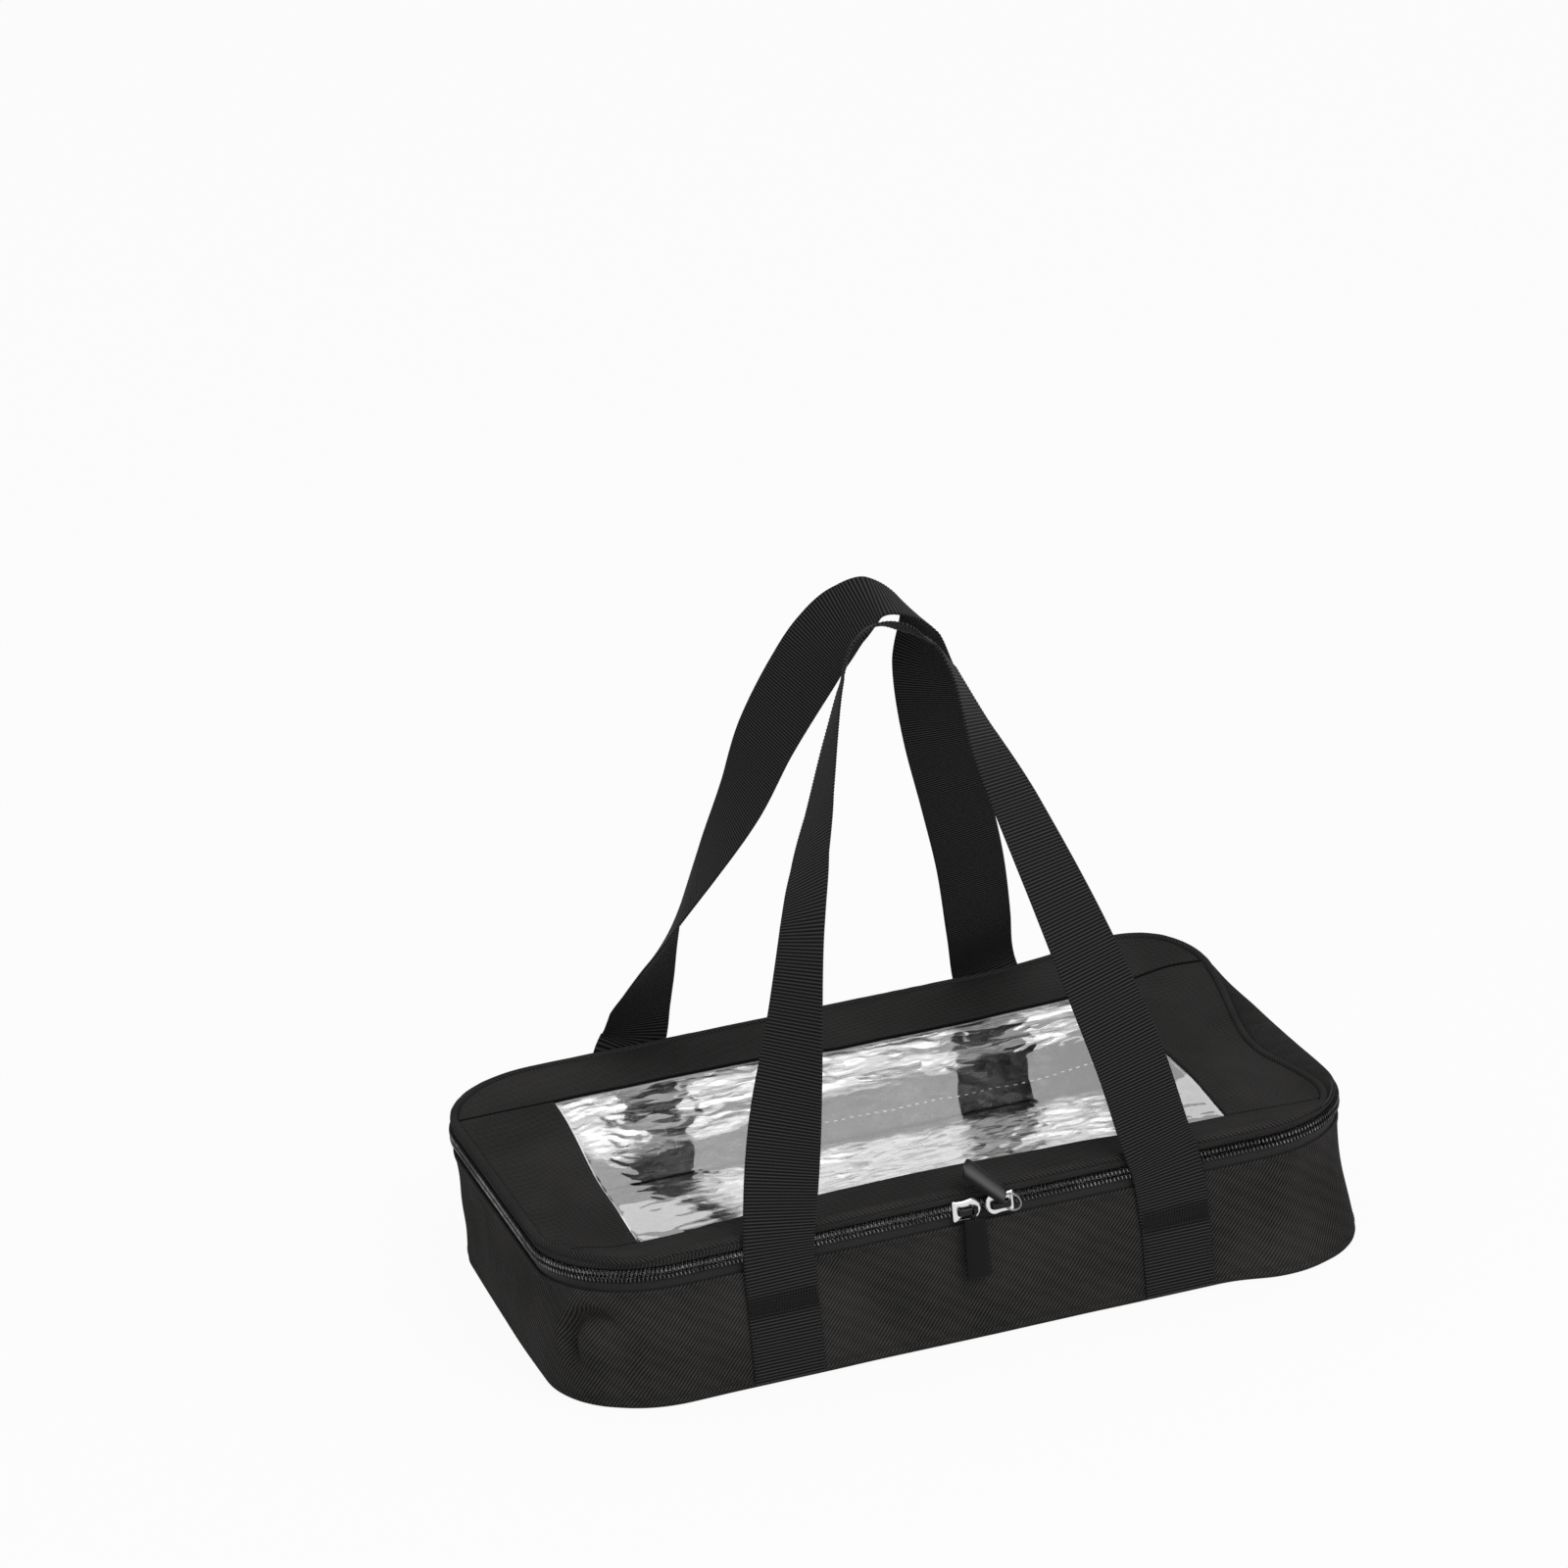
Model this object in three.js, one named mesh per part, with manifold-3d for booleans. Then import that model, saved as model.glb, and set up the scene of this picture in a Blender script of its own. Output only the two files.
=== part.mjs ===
// Casserole carrier: a flat insulated tray bag with a zipped lid, a clear window and two webbing
// handles. Millimetres, +X along the length, +Y to the back, +Z up, origin at the middle of the base.
import * as THREE from 'three';
import { mergeVertices } from 'three/addons/utils/BufferGeometryUtils.js';
import Module from 'manifold-3d';

const wasm = await Module();
wasm.setup();

// Driving dimensions of the bag
const length = 440;
const depth = 280;
const cornerRadius = 60;
const zipHeight = 75.5;
const lidRise = 11;
const wallDrop = 9.5;

// Sheet materials
const fabricThickness = 1.2;
const foamThickness = 4;
const liningThickness = 0.6;
const filmThickness = 0.5;
const lidFoamThickness = 3.2;
const seamGap = 0.3;
const cutOverrun = 2;
const cornerSegments = 5;

// Zip fastener round the front and both ends
const tapeThickness = 0.8;
const tapeOverlap = 6;
const coilHeight = 3.2;
const coilThickness = 2.4;
const chainGap = 1.6;
const zipEndTurn = Math.PI / 4;
const stopLength = 3;
const stopProud = 0.5;

// Lid
const pipingRadius = 2.2;
const pipingSides = 8;
const leftBorder = 58;
const rightBorder = 68;
const frontBorder = 32;
const backBorder = 53;
const filmMargin = 7;
const liningMargin = 2;

// Handles, of one webbing sewn to the front and back walls
const webWidth = 38;
const webThickness = 1.5;
const strapSpacing = 214;
const sewnTop = 43;
const sewnBottom = 3;
const handleRise = 318;
const rimHug = 0.5;
const tackHeight = 5.5;
const tackThickness = 0.6;

// Zip sliders and their pulls
const sliderLength = 15.4;
const sliderHeight = 12;
const sliderPlate = 1.2;
const sliderClearance = 0.4;
const innerPlateHeight = 10.6;
const neckLength = 4;
const neckClearance = 0.3;
const crownTunnel = 2.8;
const crownBridge = 1.2;
const crownWidth = 2.4;
const crownLeg = 1.5;
const crownLength = 11.4;
const leftSliderX = -5.6;
const rightSliderX = 12.3;
const wireRadius = 0.65;
const ringHold = 2.25;
const ringReach = 5.2;
const ringSteps = 18;
const wireSides = 6;
const leftRingOffset = 2.6;
const rightRingOffset = 0.9;
const rightRingHalfWidth = 3.4;
const rightRingTurn = 0.85;
const gripWidth = 11;
const gripThickness = 3.2;
const leftGripLength = 33;
const rightGripLength = 29;
const gripBite = 1.7;
const gripCorner = 3;
const gripSegments = 3;
const rightGripLean = 0.77;
const rightGripTipY = 1.9;

// Heights and insets that follow from the sizes above; an inset is counted in from the plan's edge
const halfLength = length / 2;
const halfDepth = depth / 2;
const windowLeft = leftBorder - halfLength;
const windowRight = halfLength - rightBorder;
const windowFront = frontBorder - halfDepth;
const windowBack = halfDepth - backBorder;
const wallHeight = zipHeight - wallDrop;
const pipingZ = zipHeight + lidRise - pipingRadius;
const bandTop = pipingZ - pipingRadius - seamGap;
const panelTop = pipingZ + fabricThickness / 2;
const panelBottom = panelTop - fabricThickness;
const panelInset = 2 * pipingRadius + seamGap;
const filmTop = panelBottom - seamGap;
const filmBottom = filmTop - filmThickness;
const lidFoamTop = filmBottom - seamGap;
const lidFoamBottom = lidFoamTop - lidFoamThickness;
const lidLiningTop = lidFoamBottom - seamGap;
const lowerChainTop = zipHeight - chainGap / 2;
const upperChainBottom = zipHeight + chainGap / 2;
const upperCoilTop = upperChainBottom + coilHeight;
const bandBottom = upperCoilTop + seamGap;
const coilProud = coilThickness / 2;
const tapeInset = coilProud + seamGap;
const tapeBack = tapeInset + tapeThickness;
const baseTop = fabricThickness;
const wallBottom = baseTop + seamGap;
const wallFoamInset = fabricThickness + seamGap;
const liningInset = wallFoamInset + foamThickness + seamGap;
const baseFoamTop = wallBottom + foamThickness;
const tapeBottom = wallHeight - tapeOverlap;
const coilFront = halfDepth + coilProud;

// Materials
const cloth = (color) => new THREE.MeshStandardMaterial({ color, roughness: 0.9 });
const bodyCloth = cloth(0x1e1d1c);
const lidCloth = cloth(0x2a2929);
const webbing = cloth(0x1a1a1a);
const thread = cloth(0x121212);
const tapeCloth = cloth(0x191919);
const foam = new THREE.MeshStandardMaterial({ color: 0xd9d9d6, roughness: 0.95 });
const foil = new THREE.MeshStandardMaterial({ color: 0xc8cacc, roughness: 0.25, metalness: 0.9 });
const nylon = new THREE.MeshStandardMaterial({ color: 0x141414, roughness: 0.35 });
const film = new THREE.MeshStandardMaterial({ color: 0xdfe3e4, roughness: 0.08 });
const nickel = new THREE.MeshStandardMaterial({ color: 0xc9c9c7, roughness: 0.2, metalness: 1 });
const darkMetal = new THREE.MeshStandardMaterial({ color: 0x232323, roughness: 0.3, metalness: 0.8 });
const rubber = new THREE.MeshStandardMaterial({ color: 0x1c1c1c, roughness: 0.55 });

const carrier = new THREE.Group();

function add(name, geometry, material) {
  const mesh = new THREE.Mesh(geometry, material);
  mesh.name = name;
  carrier.add(mesh);
  return mesh;
}

// A geometry as a solid for joining and cutting, and back again
function toSolid(geometry) {
  const bare = geometry.clone();
  bare.deleteAttribute('normal');
  bare.deleteAttribute('uv');
  const merged = mergeVertices(bare);
  return new wasm.Manifold(new wasm.Mesh({
    numProp: 3,
    vertProperties: merged.attributes.position.array,
    triVerts: new Uint32Array(merged.index.array),
  }));
}

function toGeometry(solid) {
  const mesh = solid.getMesh();
  const geometry = new THREE.BufferGeometry();
  geometry.setAttribute('position', new THREE.BufferAttribute(mesh.vertProperties, 3));
  geometry.setIndex(new THREE.BufferAttribute(mesh.triVerts, 1));
  return geometry;
}

// Rounded plan of the bag, drawn in from its edge by an inset
function drawPlan(path, inset) {
  const x = halfLength - cornerRadius;
  const y = halfDepth - cornerRadius;
  const r = cornerRadius - inset;
  path.absarc(x, y, r, 0, Math.PI / 2);
  path.absarc(-x, y, r, Math.PI / 2, Math.PI);
  path.absarc(-x, -y, r, Math.PI, 1.5 * Math.PI);
  path.absarc(x, -y, r, 1.5 * Math.PI, 2 * Math.PI);
  path.closePath();
  return path;
}

function raise(shape, zLow, zHigh) {
  const options = { depth: zHigh - zLow, bevelEnabled: false, curveSegments: cornerSegments };
  return new THREE.ExtrudeGeometry(shape, options).translate(0, 0, zLow);
}

function block(width, deep, tall) {
  return new THREE.BoxGeometry(width, deep, tall);
}

function plate(inset, zLow, zHigh) {
  return raise(drawPlan(new THREE.Shape(), inset), zLow, zHigh);
}

function ring(insetOut, insetIn, zLow, zHigh) {
  const shape = drawPlan(new THREE.Shape(), insetOut);
  shape.holes.push(drawPlan(new THREE.Path(), insetIn));
  return raise(shape, zLow, zHigh);
}

// Strip along the zip: from one back corner round an end, the front and the other end
function zipStrip(insetOut, insetIn, zLow, zHigh) {
  const x = halfLength - cornerRadius;
  const y = halfDepth - cornerRadius;
  const shape = new THREE.Shape();
  const walk = (r, forward) => {
    const corners = [
      [-x, y, Math.PI - zipEndTurn, Math.PI],
      [-x, -y, Math.PI, 1.5 * Math.PI],
      [x, -y, 1.5 * Math.PI, 2 * Math.PI],
      [x, y, 2 * Math.PI, 2 * Math.PI + zipEndTurn],
    ];
    if (!forward) corners.reverse();
    for (const [cx, cy, from, to] of corners) {
      shape.absarc(cx, cy, r, forward ? from : to, forward ? to : from, !forward);
    }
  };
  walk(cornerRadius - insetOut, true);
  walk(cornerRadius - insetIn, false);
  shape.closePath();
  return raise(shape, zLow, zHigh);
}

// Strip along the back between the two zip ends, where the lid is hinged by its own cloth
function hingeStrip(insetOut, insetIn, zLow, zHigh) {
  const x = halfLength - cornerRadius;
  const y = halfDepth - cornerRadius;
  const out = cornerRadius - insetOut;
  const inn = cornerRadius - insetIn;
  const spare = (stopLength + 3 * seamGap) / cornerRadius;
  const from = zipEndTurn + spare;
  const shape = new THREE.Shape();
  shape.absarc(x, y, out, from, Math.PI / 2);
  shape.absarc(-x, y, out, Math.PI / 2, Math.PI - from);
  shape.absarc(-x, y, inn, Math.PI - from, Math.PI / 2, true);
  shape.absarc(x, y, inn, Math.PI / 2, from, true);
  shape.closePath();
  return raise(shape, zLow, zHigh);
}

// Tray: base and walls, each of cloth outside, foam between and foil lining inside
function buildTray() {
  add('base_panel', plate(0, 0, baseTop), bodyCloth);
  add('base_foam', plate(wallFoamInset, wallBottom, baseFoamTop), foam);
  const liningBottom = baseFoamTop + seamGap;
  add('base_lining', plate(liningInset, liningBottom, liningBottom + liningThickness), foil);
  add('wall_fabric', ring(0, fabricThickness, wallBottom, wallHeight), bodyCloth);
  const foamIn = wallFoamInset + foamThickness;
  const foamTop = tapeBottom - seamGap;
  add('wall_foam', ring(wallFoamInset, foamIn, baseFoamTop + seamGap, foamTop), foam);
  const wallLiningBottom = liningBottom + liningThickness + seamGap;
  add('wall_lining', ring(liningInset, liningInset + liningThickness, wallLiningBottom, wallHeight), foil);
  add('rim_binding', ring(tapeBack + seamGap, foamIn, tapeBottom, wallHeight), thread);
}

// Zip halves: the lower one is sewn inside the wall's top edge, the upper one inside the lid's band
function buildZip() {
  add('lower_zip_tape', zipStrip(tapeInset, tapeBack, tapeBottom, lowerChainTop), tapeCloth);
  add('lower_zip_coil', zipStrip(-coilProud, coilProud, lowerChainTop - coilHeight, lowerChainTop), nylon);
  add('upper_zip_tape', zipStrip(tapeInset, tapeBack, upperChainBottom, bandTop), tapeCloth);
  add('upper_zip_coil', zipStrip(-coilProud, coilProud, upperChainBottom, upperCoilTop), nylon);
  const x = halfLength - cornerRadius;
  const y = halfDepth - cornerRadius;
  const chain = cornerRadius + stopProud / 2;
  const turn = zipEndTurn + (stopLength / 2 + seamGap) / cornerRadius;
  for (const [name, side] of [['left_zip_stop', -1], ['right_zip_stop', 1]]) {
    const stop = block(coilThickness + stopProud, stopLength, coilHeight);
    stop.rotateZ(turn);
    if (side < 0) stop.rotateZ(Math.PI - 2 * turn);
    const stopX = side * (x + chain * Math.cos(turn));
    stop.translate(stopX, y + chain * Math.sin(turn), lowerChainTop - coilHeight / 2);
    add(name, stop, nylon);
  }
}

// Cloth along the back edge, in two halves that meet at the hinge line
function buildHinge() {
  const lower = hingeStrip(0, fabricThickness, wallHeight + seamGap, zipHeight - seamGap);
  const upper = hingeStrip(0, fabricThickness, zipHeight + seamGap, bandBottom - seamGap);
  add('hinge_cloth_lower', lower, lidCloth);
  add('hinge_cloth_upper', upper, lidCloth);
}

// Closed tube along a closed list of points, with a given number of sides
function closedTube(points, radius, sides, planeNormal) {
  const rings = points.map((point, i) => {
    const before = points[(i + points.length - 1) % points.length];
    const after = points[(i + 1) % points.length];
    const along = after.clone().sub(before).normalize();
    const out = new THREE.Vector3().crossVectors(along, planeNormal).normalize();
    const up = new THREE.Vector3().crossVectors(along, out);
    return Array.from({ length: sides }, (_, k) => {
      const a = (2 * Math.PI * k) / sides;
      const side = point.clone().addScaledVector(out, radius * Math.cos(a));
      return side.addScaledVector(up, radius * Math.sin(a));
    });
  });
  return loft(rings, true);
}

// Skin over rings of equally many points, either looped round or capped at both ends
function loft(rings, looped) {
  const sides = rings[0].length;
  const positions = rings.flat().flatMap((p) => [p.x, p.y, p.z]);
  const index = [];
  const last = looped ? rings.length : rings.length - 1;
  for (let i = 0; i < last; i += 1) {
    const a = i * sides;
    const b = ((i + 1) % rings.length) * sides;
    for (let k = 0; k < sides; k += 1) {
      const next = (k + 1) % sides;
      index.push(a + k, a + next, b + next, a + k, b + next, b + k);
    }
  }
  if (!looped) {
    const end = (rings.length - 1) * sides;
    for (let k = 1; k < sides - 1; k += 1) {
      index.push(0, k + 1, k, end, end + k, end + k + 1);
    }
  }
  const geometry = new THREE.BufferGeometry();
  geometry.setAttribute('position', new THREE.Float32BufferAttribute(positions, 3));
  geometry.setIndex(index);
  return geometry;
}

// Lid: four cloth panels round the window film, over a foam frame, edged by piping and a narrow band
function buildLid() {
  const outer = (zLow, zHigh) => toSolid(plate(panelInset, zLow, zHigh));
  const slab = (xLow, xHigh, yLow, yHigh, zLow, zHigh) => {
    const box = block(xHigh - xLow, yHigh - yLow, zHigh - zLow);
    return toSolid(box.translate((xLow + xHigh) / 2, (yLow + yHigh) / 2, (zLow + zHigh) / 2));
  };
  const low = panelBottom - cutOverrun;
  const high = panelTop + cutOverrun;
  const cloth4 = [
    ['lid_front_strip', -halfLength, halfLength, -halfDepth, windowFront],
    ['lid_back_strip', -halfLength, halfLength, windowBack, halfDepth],
    ['lid_left_panel', -halfLength, windowLeft, windowFront + seamGap, windowBack - seamGap],
    ['lid_right_panel', windowRight, halfLength, windowFront + seamGap, windowBack - seamGap],
  ];
  for (const [name, xLow, xHigh, yLow, yHigh] of cloth4) {
    const piece = outer(panelBottom, panelTop).intersect(slab(xLow, xHigh, yLow, yHigh, low, high));
    add(name, toGeometry(piece), lidCloth);
  }
  const opening = (margin, zLow, zHigh) => slab(
    windowLeft - margin, windowRight + margin, windowFront - margin, windowBack + margin, zLow, zHigh,
  );
  add('window_film', toGeometry(opening(filmMargin, filmBottom, filmTop)), film);
  const foamHole = opening(0, lidFoamBottom - cutOverrun, lidFoamTop + cutOverrun);
  add('lid_foam', toGeometry(outer(lidFoamBottom, lidFoamTop).subtract(foamHole)), foam);
  const liningBottom = lidLiningTop - liningThickness;
  const liningHole = opening(liningMargin, liningBottom - cutOverrun, lidLiningTop + cutOverrun);
  add('lid_lining', toGeometry(outer(liningBottom, lidLiningTop).subtract(liningHole)), foil);
  add('lid_band', ring(0, fabricThickness, bandBottom, bandTop), lidCloth);

  const path = drawPlan(new THREE.Path(), pipingRadius).getPoints(cornerSegments);
  if (path[0].distanceTo(path[path.length - 1]) < seamGap) path.pop();
  const loop = path.map((p) => new THREE.Vector3(p.x, p.y, pipingZ));
  const up = new THREE.Vector3(0, 0, 1);
  add('lid_piping', closedTube(loop, pipingRadius, pipingSides, up), lidCloth);
}

// One table row: across, depth and height of the strap's middle, then its twist in quarter turns.
// Across is a share of half the strap spacing, depth of half the bag's depth, height of the rise.
const frontHandleShares = [
  [-0.981, 1.028, 0.163, -0.06], [-0.918, 1.048, 0.315, -0.36], [-0.819, 1.014, 0.457, -0.66],
  [-0.681, 0.905, 0.622, -0.85], [-0.566, 0.77, 0.7, -0.97], [-0.439, 0.63, 0.77, -1.08],
  [-0.29, 0.466, 0.854, -1.18], [-0.18, 0.373, 0.92, -1.24], [-0.089, 0.33, 0.976, -1.27],
  [0.024, 0.316, 1, -1.24], [0.126, 0.316, 0.998, -1.18], [0.229, 0.323, 0.977, -1.1],
  [0.311, 0.344, 0.958, -1], [0.369, 0.401, 0.923, -0.87], [0.442, 0.53, 0.815, -0.62],
  [0.516, 0.658, 0.72, -0.46], [0.632, 0.854, 0.563, -0.27], [0.748, 0.986, 0.405, -0.1],
  [0.833, 1.029, 0.293, -0.03], [0.922, 1.029, 0.161, 0],
];
const backHandleShares = [
  [-0.978, 1.021, 0.141, 0], [-0.933, 0.95, 0.208, 0.15], [-0.884, 0.857, 0.27, 0.36],
  [-0.824, 0.779, 0.332, 0.56], [-0.764, 0.707, 0.388, 0.72], [-0.61, 0.557, 0.514, 0.99],
  [-0.459, 0.407, 0.637, 1.22], [-0.339, 0.271, 0.759, 1.4], [-0.182, 0.129, 0.876, 1.54],
  [-0.084, 0.043, 0.939, 1.5], [0.024, -0.029, 0.986, 1.36], [0.15, -0.057, 1.011, 1.18],
  [0.28, -0.057, 0.993, 1.07], [0.376, -0.043, 0.953, 0.93], [0.419, 0.043, 0.859, 0.49],
  [0.532, 0.236, 0.706, 0.22], [0.662, 0.421, 0.56, 0.15], [0.786, 0.607, 0.411, 0.1],
  [0.885, 0.81, 0.26, 0.06], [0.977, 1.021, 0.141, 0],
];
const stepsPerRow = 4;

// Webbing loop: a flat section carried along a smooth line through the rows, turned by their twist
function handleLoop(rows, side) {
  const half = strapSpacing / 2;
  const bottom = sewnTop + seamGap;
  const wall = halfDepth + seamGap + webThickness / 2;
  const rim = coilFront + rimHug + webThickness / 2;
  const foot = (across) => [
    [across * half, side * wall, bottom, 0],
    [across * half, side * rim, zipHeight, 0],
  ];
  const table = [
    ...foot(-1),
    ...rows.map(([x, y, z, turn]) => [x * half, side * y * halfDepth, bottom + z * handleRise, turn]),
    ...foot(1).reverse(),
  ];
  const centres = table.map(([x, y, z]) => new THREE.Vector3(x, y, z));
  const curve = new THREE.CatmullRomCurve3(centres, false, 'centripetal');
  const count = (table.length - 1) * stepsPerRow;
  const outward = new THREE.Vector3(0, side, 0);
  const rings = [];
  for (let i = 0; i <= count; i += 1) {
    const t = i / count;
    const row = Math.min(Math.floor(i / stepsPerRow), table.length - 2);
    const part = i / stepsPerRow - row;
    const turn = table[row][3] + (table[row + 1][3] - table[row][3]) * part;
    const centre = curve.getPoint(t);
    const along = curve.getTangent(t);
    if (i === 0 || i === count) along.set(0, 0, i === 0 ? 1 : -1);
    const face = outward.clone().addScaledVector(along, -outward.dot(along)).normalize();
    face.applyAxisAngle(along, turn * Math.PI / 2);
    const across = new THREE.Vector3().crossVectors(along, face);
    rings.push([[1, 1], [1, -1], [-1, -1], [-1, 1]].map(([a, f]) => centre.clone()
      .addScaledVector(across, a * webWidth / 2)
      .addScaledVector(face, f * webThickness / 2)));
  }
  return loft(rings, false);
}

// Sewn ends of the webbing on the walls, each closed by a dense bar of stitches at its top
function buildHandles() {
  const anchorY = halfDepth + seamGap + webThickness / 2;
  const tackY = halfDepth + webThickness + 2 * seamGap + tackThickness / 2;
  const anchorHeight = sewnTop - sewnBottom;
  for (const [face, side] of [['front', -1], ['back', 1]]) {
    for (const [hand, across] of [['left', -1], ['right', 1]]) {
      const x = across * strapSpacing / 2;
      const strap = block(webWidth, webThickness, anchorHeight);
      strap.translate(x, side * anchorY, sewnBottom + anchorHeight / 2);
      add(`${face}_${hand}_anchor`, strap, webbing);
      const tack = block(webWidth, tackThickness, tackHeight);
      tack.translate(x, side * tackY, sewnTop - seamGap - tackHeight / 2);
      add(`${face}_${hand}_tack`, tack, thread);
    }
  }
  add('front_handle_webbing', handleLoop(frontHandleShares, -1), webbing);
  add('back_handle_webbing', handleLoop(backHandleShares, 1), webbing);
}

// Outline turned up so that it faces the front, with its depth running out from the given plane
function faceFront(shape, thickness, backY) {
  const options = { depth: thickness, bevelEnabled: false, curveSegments: cornerSegments };
  return new THREE.ExtrudeGeometry(shape, options).rotateX(Math.PI / 2).translate(0, backY, 0);
}

// Slider: an outer and an inner plate joined by a neck that runs between the two coils
const plateBack = -(coilFront + sliderClearance);
const plateFront = plateBack - sliderPlate;
const bridgeY = plateFront - crownTunnel - crownBridge / 2;

function sliderOutline(tall) {
  const a = sliderLength / 2;
  const b = tall / 2;
  const waistShare = 0.78;
  const shoulderShare = 0.3;
  const shape = new THREE.Shape();
  shape.moveTo(-a, -b);
  shape.quadraticCurveTo(-a * shoulderShare, -b * waistShare, a * shoulderShare, -b);
  shape.absellipse(a * shoulderShare, 0, a * (1 - shoulderShare), b, -Math.PI / 2, Math.PI / 2);
  shape.quadraticCurveTo(-a * shoulderShare, b * waistShare, -a, b);
  shape.closePath();
  return shape;
}

function slider(name, x, mirror) {
  const innerBack = -(halfDepth - tapeBack - sliderClearance) + sliderPlate;
  const outer = faceFront(sliderOutline(sliderHeight), sliderPlate, plateBack);
  const inner = faceFront(sliderOutline(innerPlateHeight), sliderPlate, innerBack);
  const overlap = sliderPlate / 2;
  const neckDeep = innerBack - plateBack - sliderPlate + 2 * overlap;
  const neck = block(neckLength, neckDeep, chainGap - 2 * neckClearance);
  neck.translate(0, (innerBack - sliderPlate + plateBack) / 2, 0);
  let body = toSolid(outer).add(toSolid(inner)).add(toSolid(neck));
  if (mirror) body = body.mirror([1, 0, 0]);
  add(`${name}_slider_body`, toGeometry(body).translate(x, 0, zipHeight), nickel);

  const crown = new THREE.Shape();
  const half = crownLength / 2;
  const inside = half - crownLeg;
  crown.moveTo(-half, -seamGap);
  crown.lineTo(-half, -crownTunnel);
  crown.lineTo(-inside, -crownTunnel - crownBridge);
  crown.lineTo(inside, -crownTunnel - crownBridge);
  crown.lineTo(half, -crownTunnel);
  crown.lineTo(half, -seamGap);
  crown.lineTo(inside, -seamGap);
  crown.lineTo(inside, -crownTunnel);
  crown.lineTo(-inside, -crownTunnel);
  crown.lineTo(-inside, -seamGap);
  crown.closePath();
  const arch = new THREE.ExtrudeGeometry(crown, { depth: crownWidth, bevelEnabled: false });
  arch.translate(x, plateFront, zipHeight - crownWidth / 2);
  add(`${name}_slider_crown`, arch, darkMetal);
}

// Wire ring round the crown's bridge: a short half below it and a long half towards the grip
function wireRing(halfWidth, turn, reach) {
  const points = Array.from({ length: ringSteps }, (_, i) => {
    const a = (2 * Math.PI * i) / ringSteps;
    const rise = Math.sin(a) > 0 ? reach : ringHold;
    const flat = halfWidth * Math.cos(a);
    return new THREE.Vector3(flat * Math.sin(turn), -flat * Math.cos(turn), rise * Math.sin(a));
  });
  const normal = new THREE.Vector3(Math.cos(turn), Math.sin(turn), 0);
  return { points, normal };
}

function gripBar(long) {
  const shape = new THREE.Shape();
  const half = gripWidth / 2;
  const r = gripCorner;
  shape.absarc(half - r, long - r, r, 0, Math.PI / 2);
  shape.absarc(-half + r, long - r, r, Math.PI / 2, Math.PI);
  shape.absarc(-half + r, r, r, Math.PI, 1.5 * Math.PI);
  shape.absarc(half - r, r, r, 1.5 * Math.PI, 2 * Math.PI);
  shape.closePath();
  const options = { depth: gripThickness, bevelEnabled: false, curveSegments: gripSegments };
  return new THREE.ExtrudeGeometry(shape, options).rotateX(Math.PI / 2).translate(0, gripThickness / 2, 0);
}

// Pull: the ring and a moulded grip that holds the ring's far end in a channel
function pull(name, x, { halfWidth, turn, down, gripLength, place }) {
  const { points, normal } = wireRing(halfWidth, turn, ringReach);
  const flip = down ? Math.PI : 0;
  const placeRing = (geometry) => geometry.rotateX(flip).translate(x, bridgeY, zipHeight);
  const ringSolid = closedTube(points, wireRadius, wireSides, normal);
  const channel = closedTube(points, wireRadius + seamGap, wireSides, normal);
  const grip = gripBar(gripLength).translate(0, 0, ringReach - gripBite);
  place(grip);
  add(`${name}_pull_ring`, placeRing(ringSolid), nickel);
  const cut = toSolid(placeRing(grip)).subtract(toSolid(placeRing(channel)));
  add(`${name}_pull_grip`, toGeometry(cut), rubber);
}

function buildSliders() {
  slider('left', leftSliderX, false);
  slider('right', rightSliderX, true);
  pull('left', leftSliderX + leftRingOffset, {
    halfWidth: ringHold, turn: 0, down: true, gripLength: leftGripLength, place: (grip) => grip,
  });
  const leanIn = Math.asin(rightGripTipY / rightGripLength);
  pull('right', rightSliderX + rightRingOffset, {
    halfWidth: rightRingHalfWidth,
    turn: rightRingTurn,
    down: false,
    gripLength: rightGripLength,
    place: (grip) => {
      grip.translate(0, 0, -ringReach);
      grip.rotateX(-leanIn);
      grip.rotateY(-rightGripLean);
      grip.translate(0, 0, ringReach);
    },
  });
}

buildTray();
buildZip();
buildHinge();
buildLid();
buildHandles();
buildSliders();

export default carrier;
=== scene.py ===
# %% [markdown]
# # An insulated casserole carrier
#
# The carrier is a flat zipped bag with a soft lid, a clear window and two webbing handles. Its working
# parts are already packed as a fixed frame: where each piece is, how big it is and how it moves. This
# lesson dresses that frame in cloth, foil, film, nylon and metal. Every surface is worked out with numpy
# as a grid of points, so each shape is a short formula that can be read and changed.

# %% Load the frame
import math

import bmesh
import bpy
import numpy as np
from mathutils import Matrix, Vector


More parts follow.
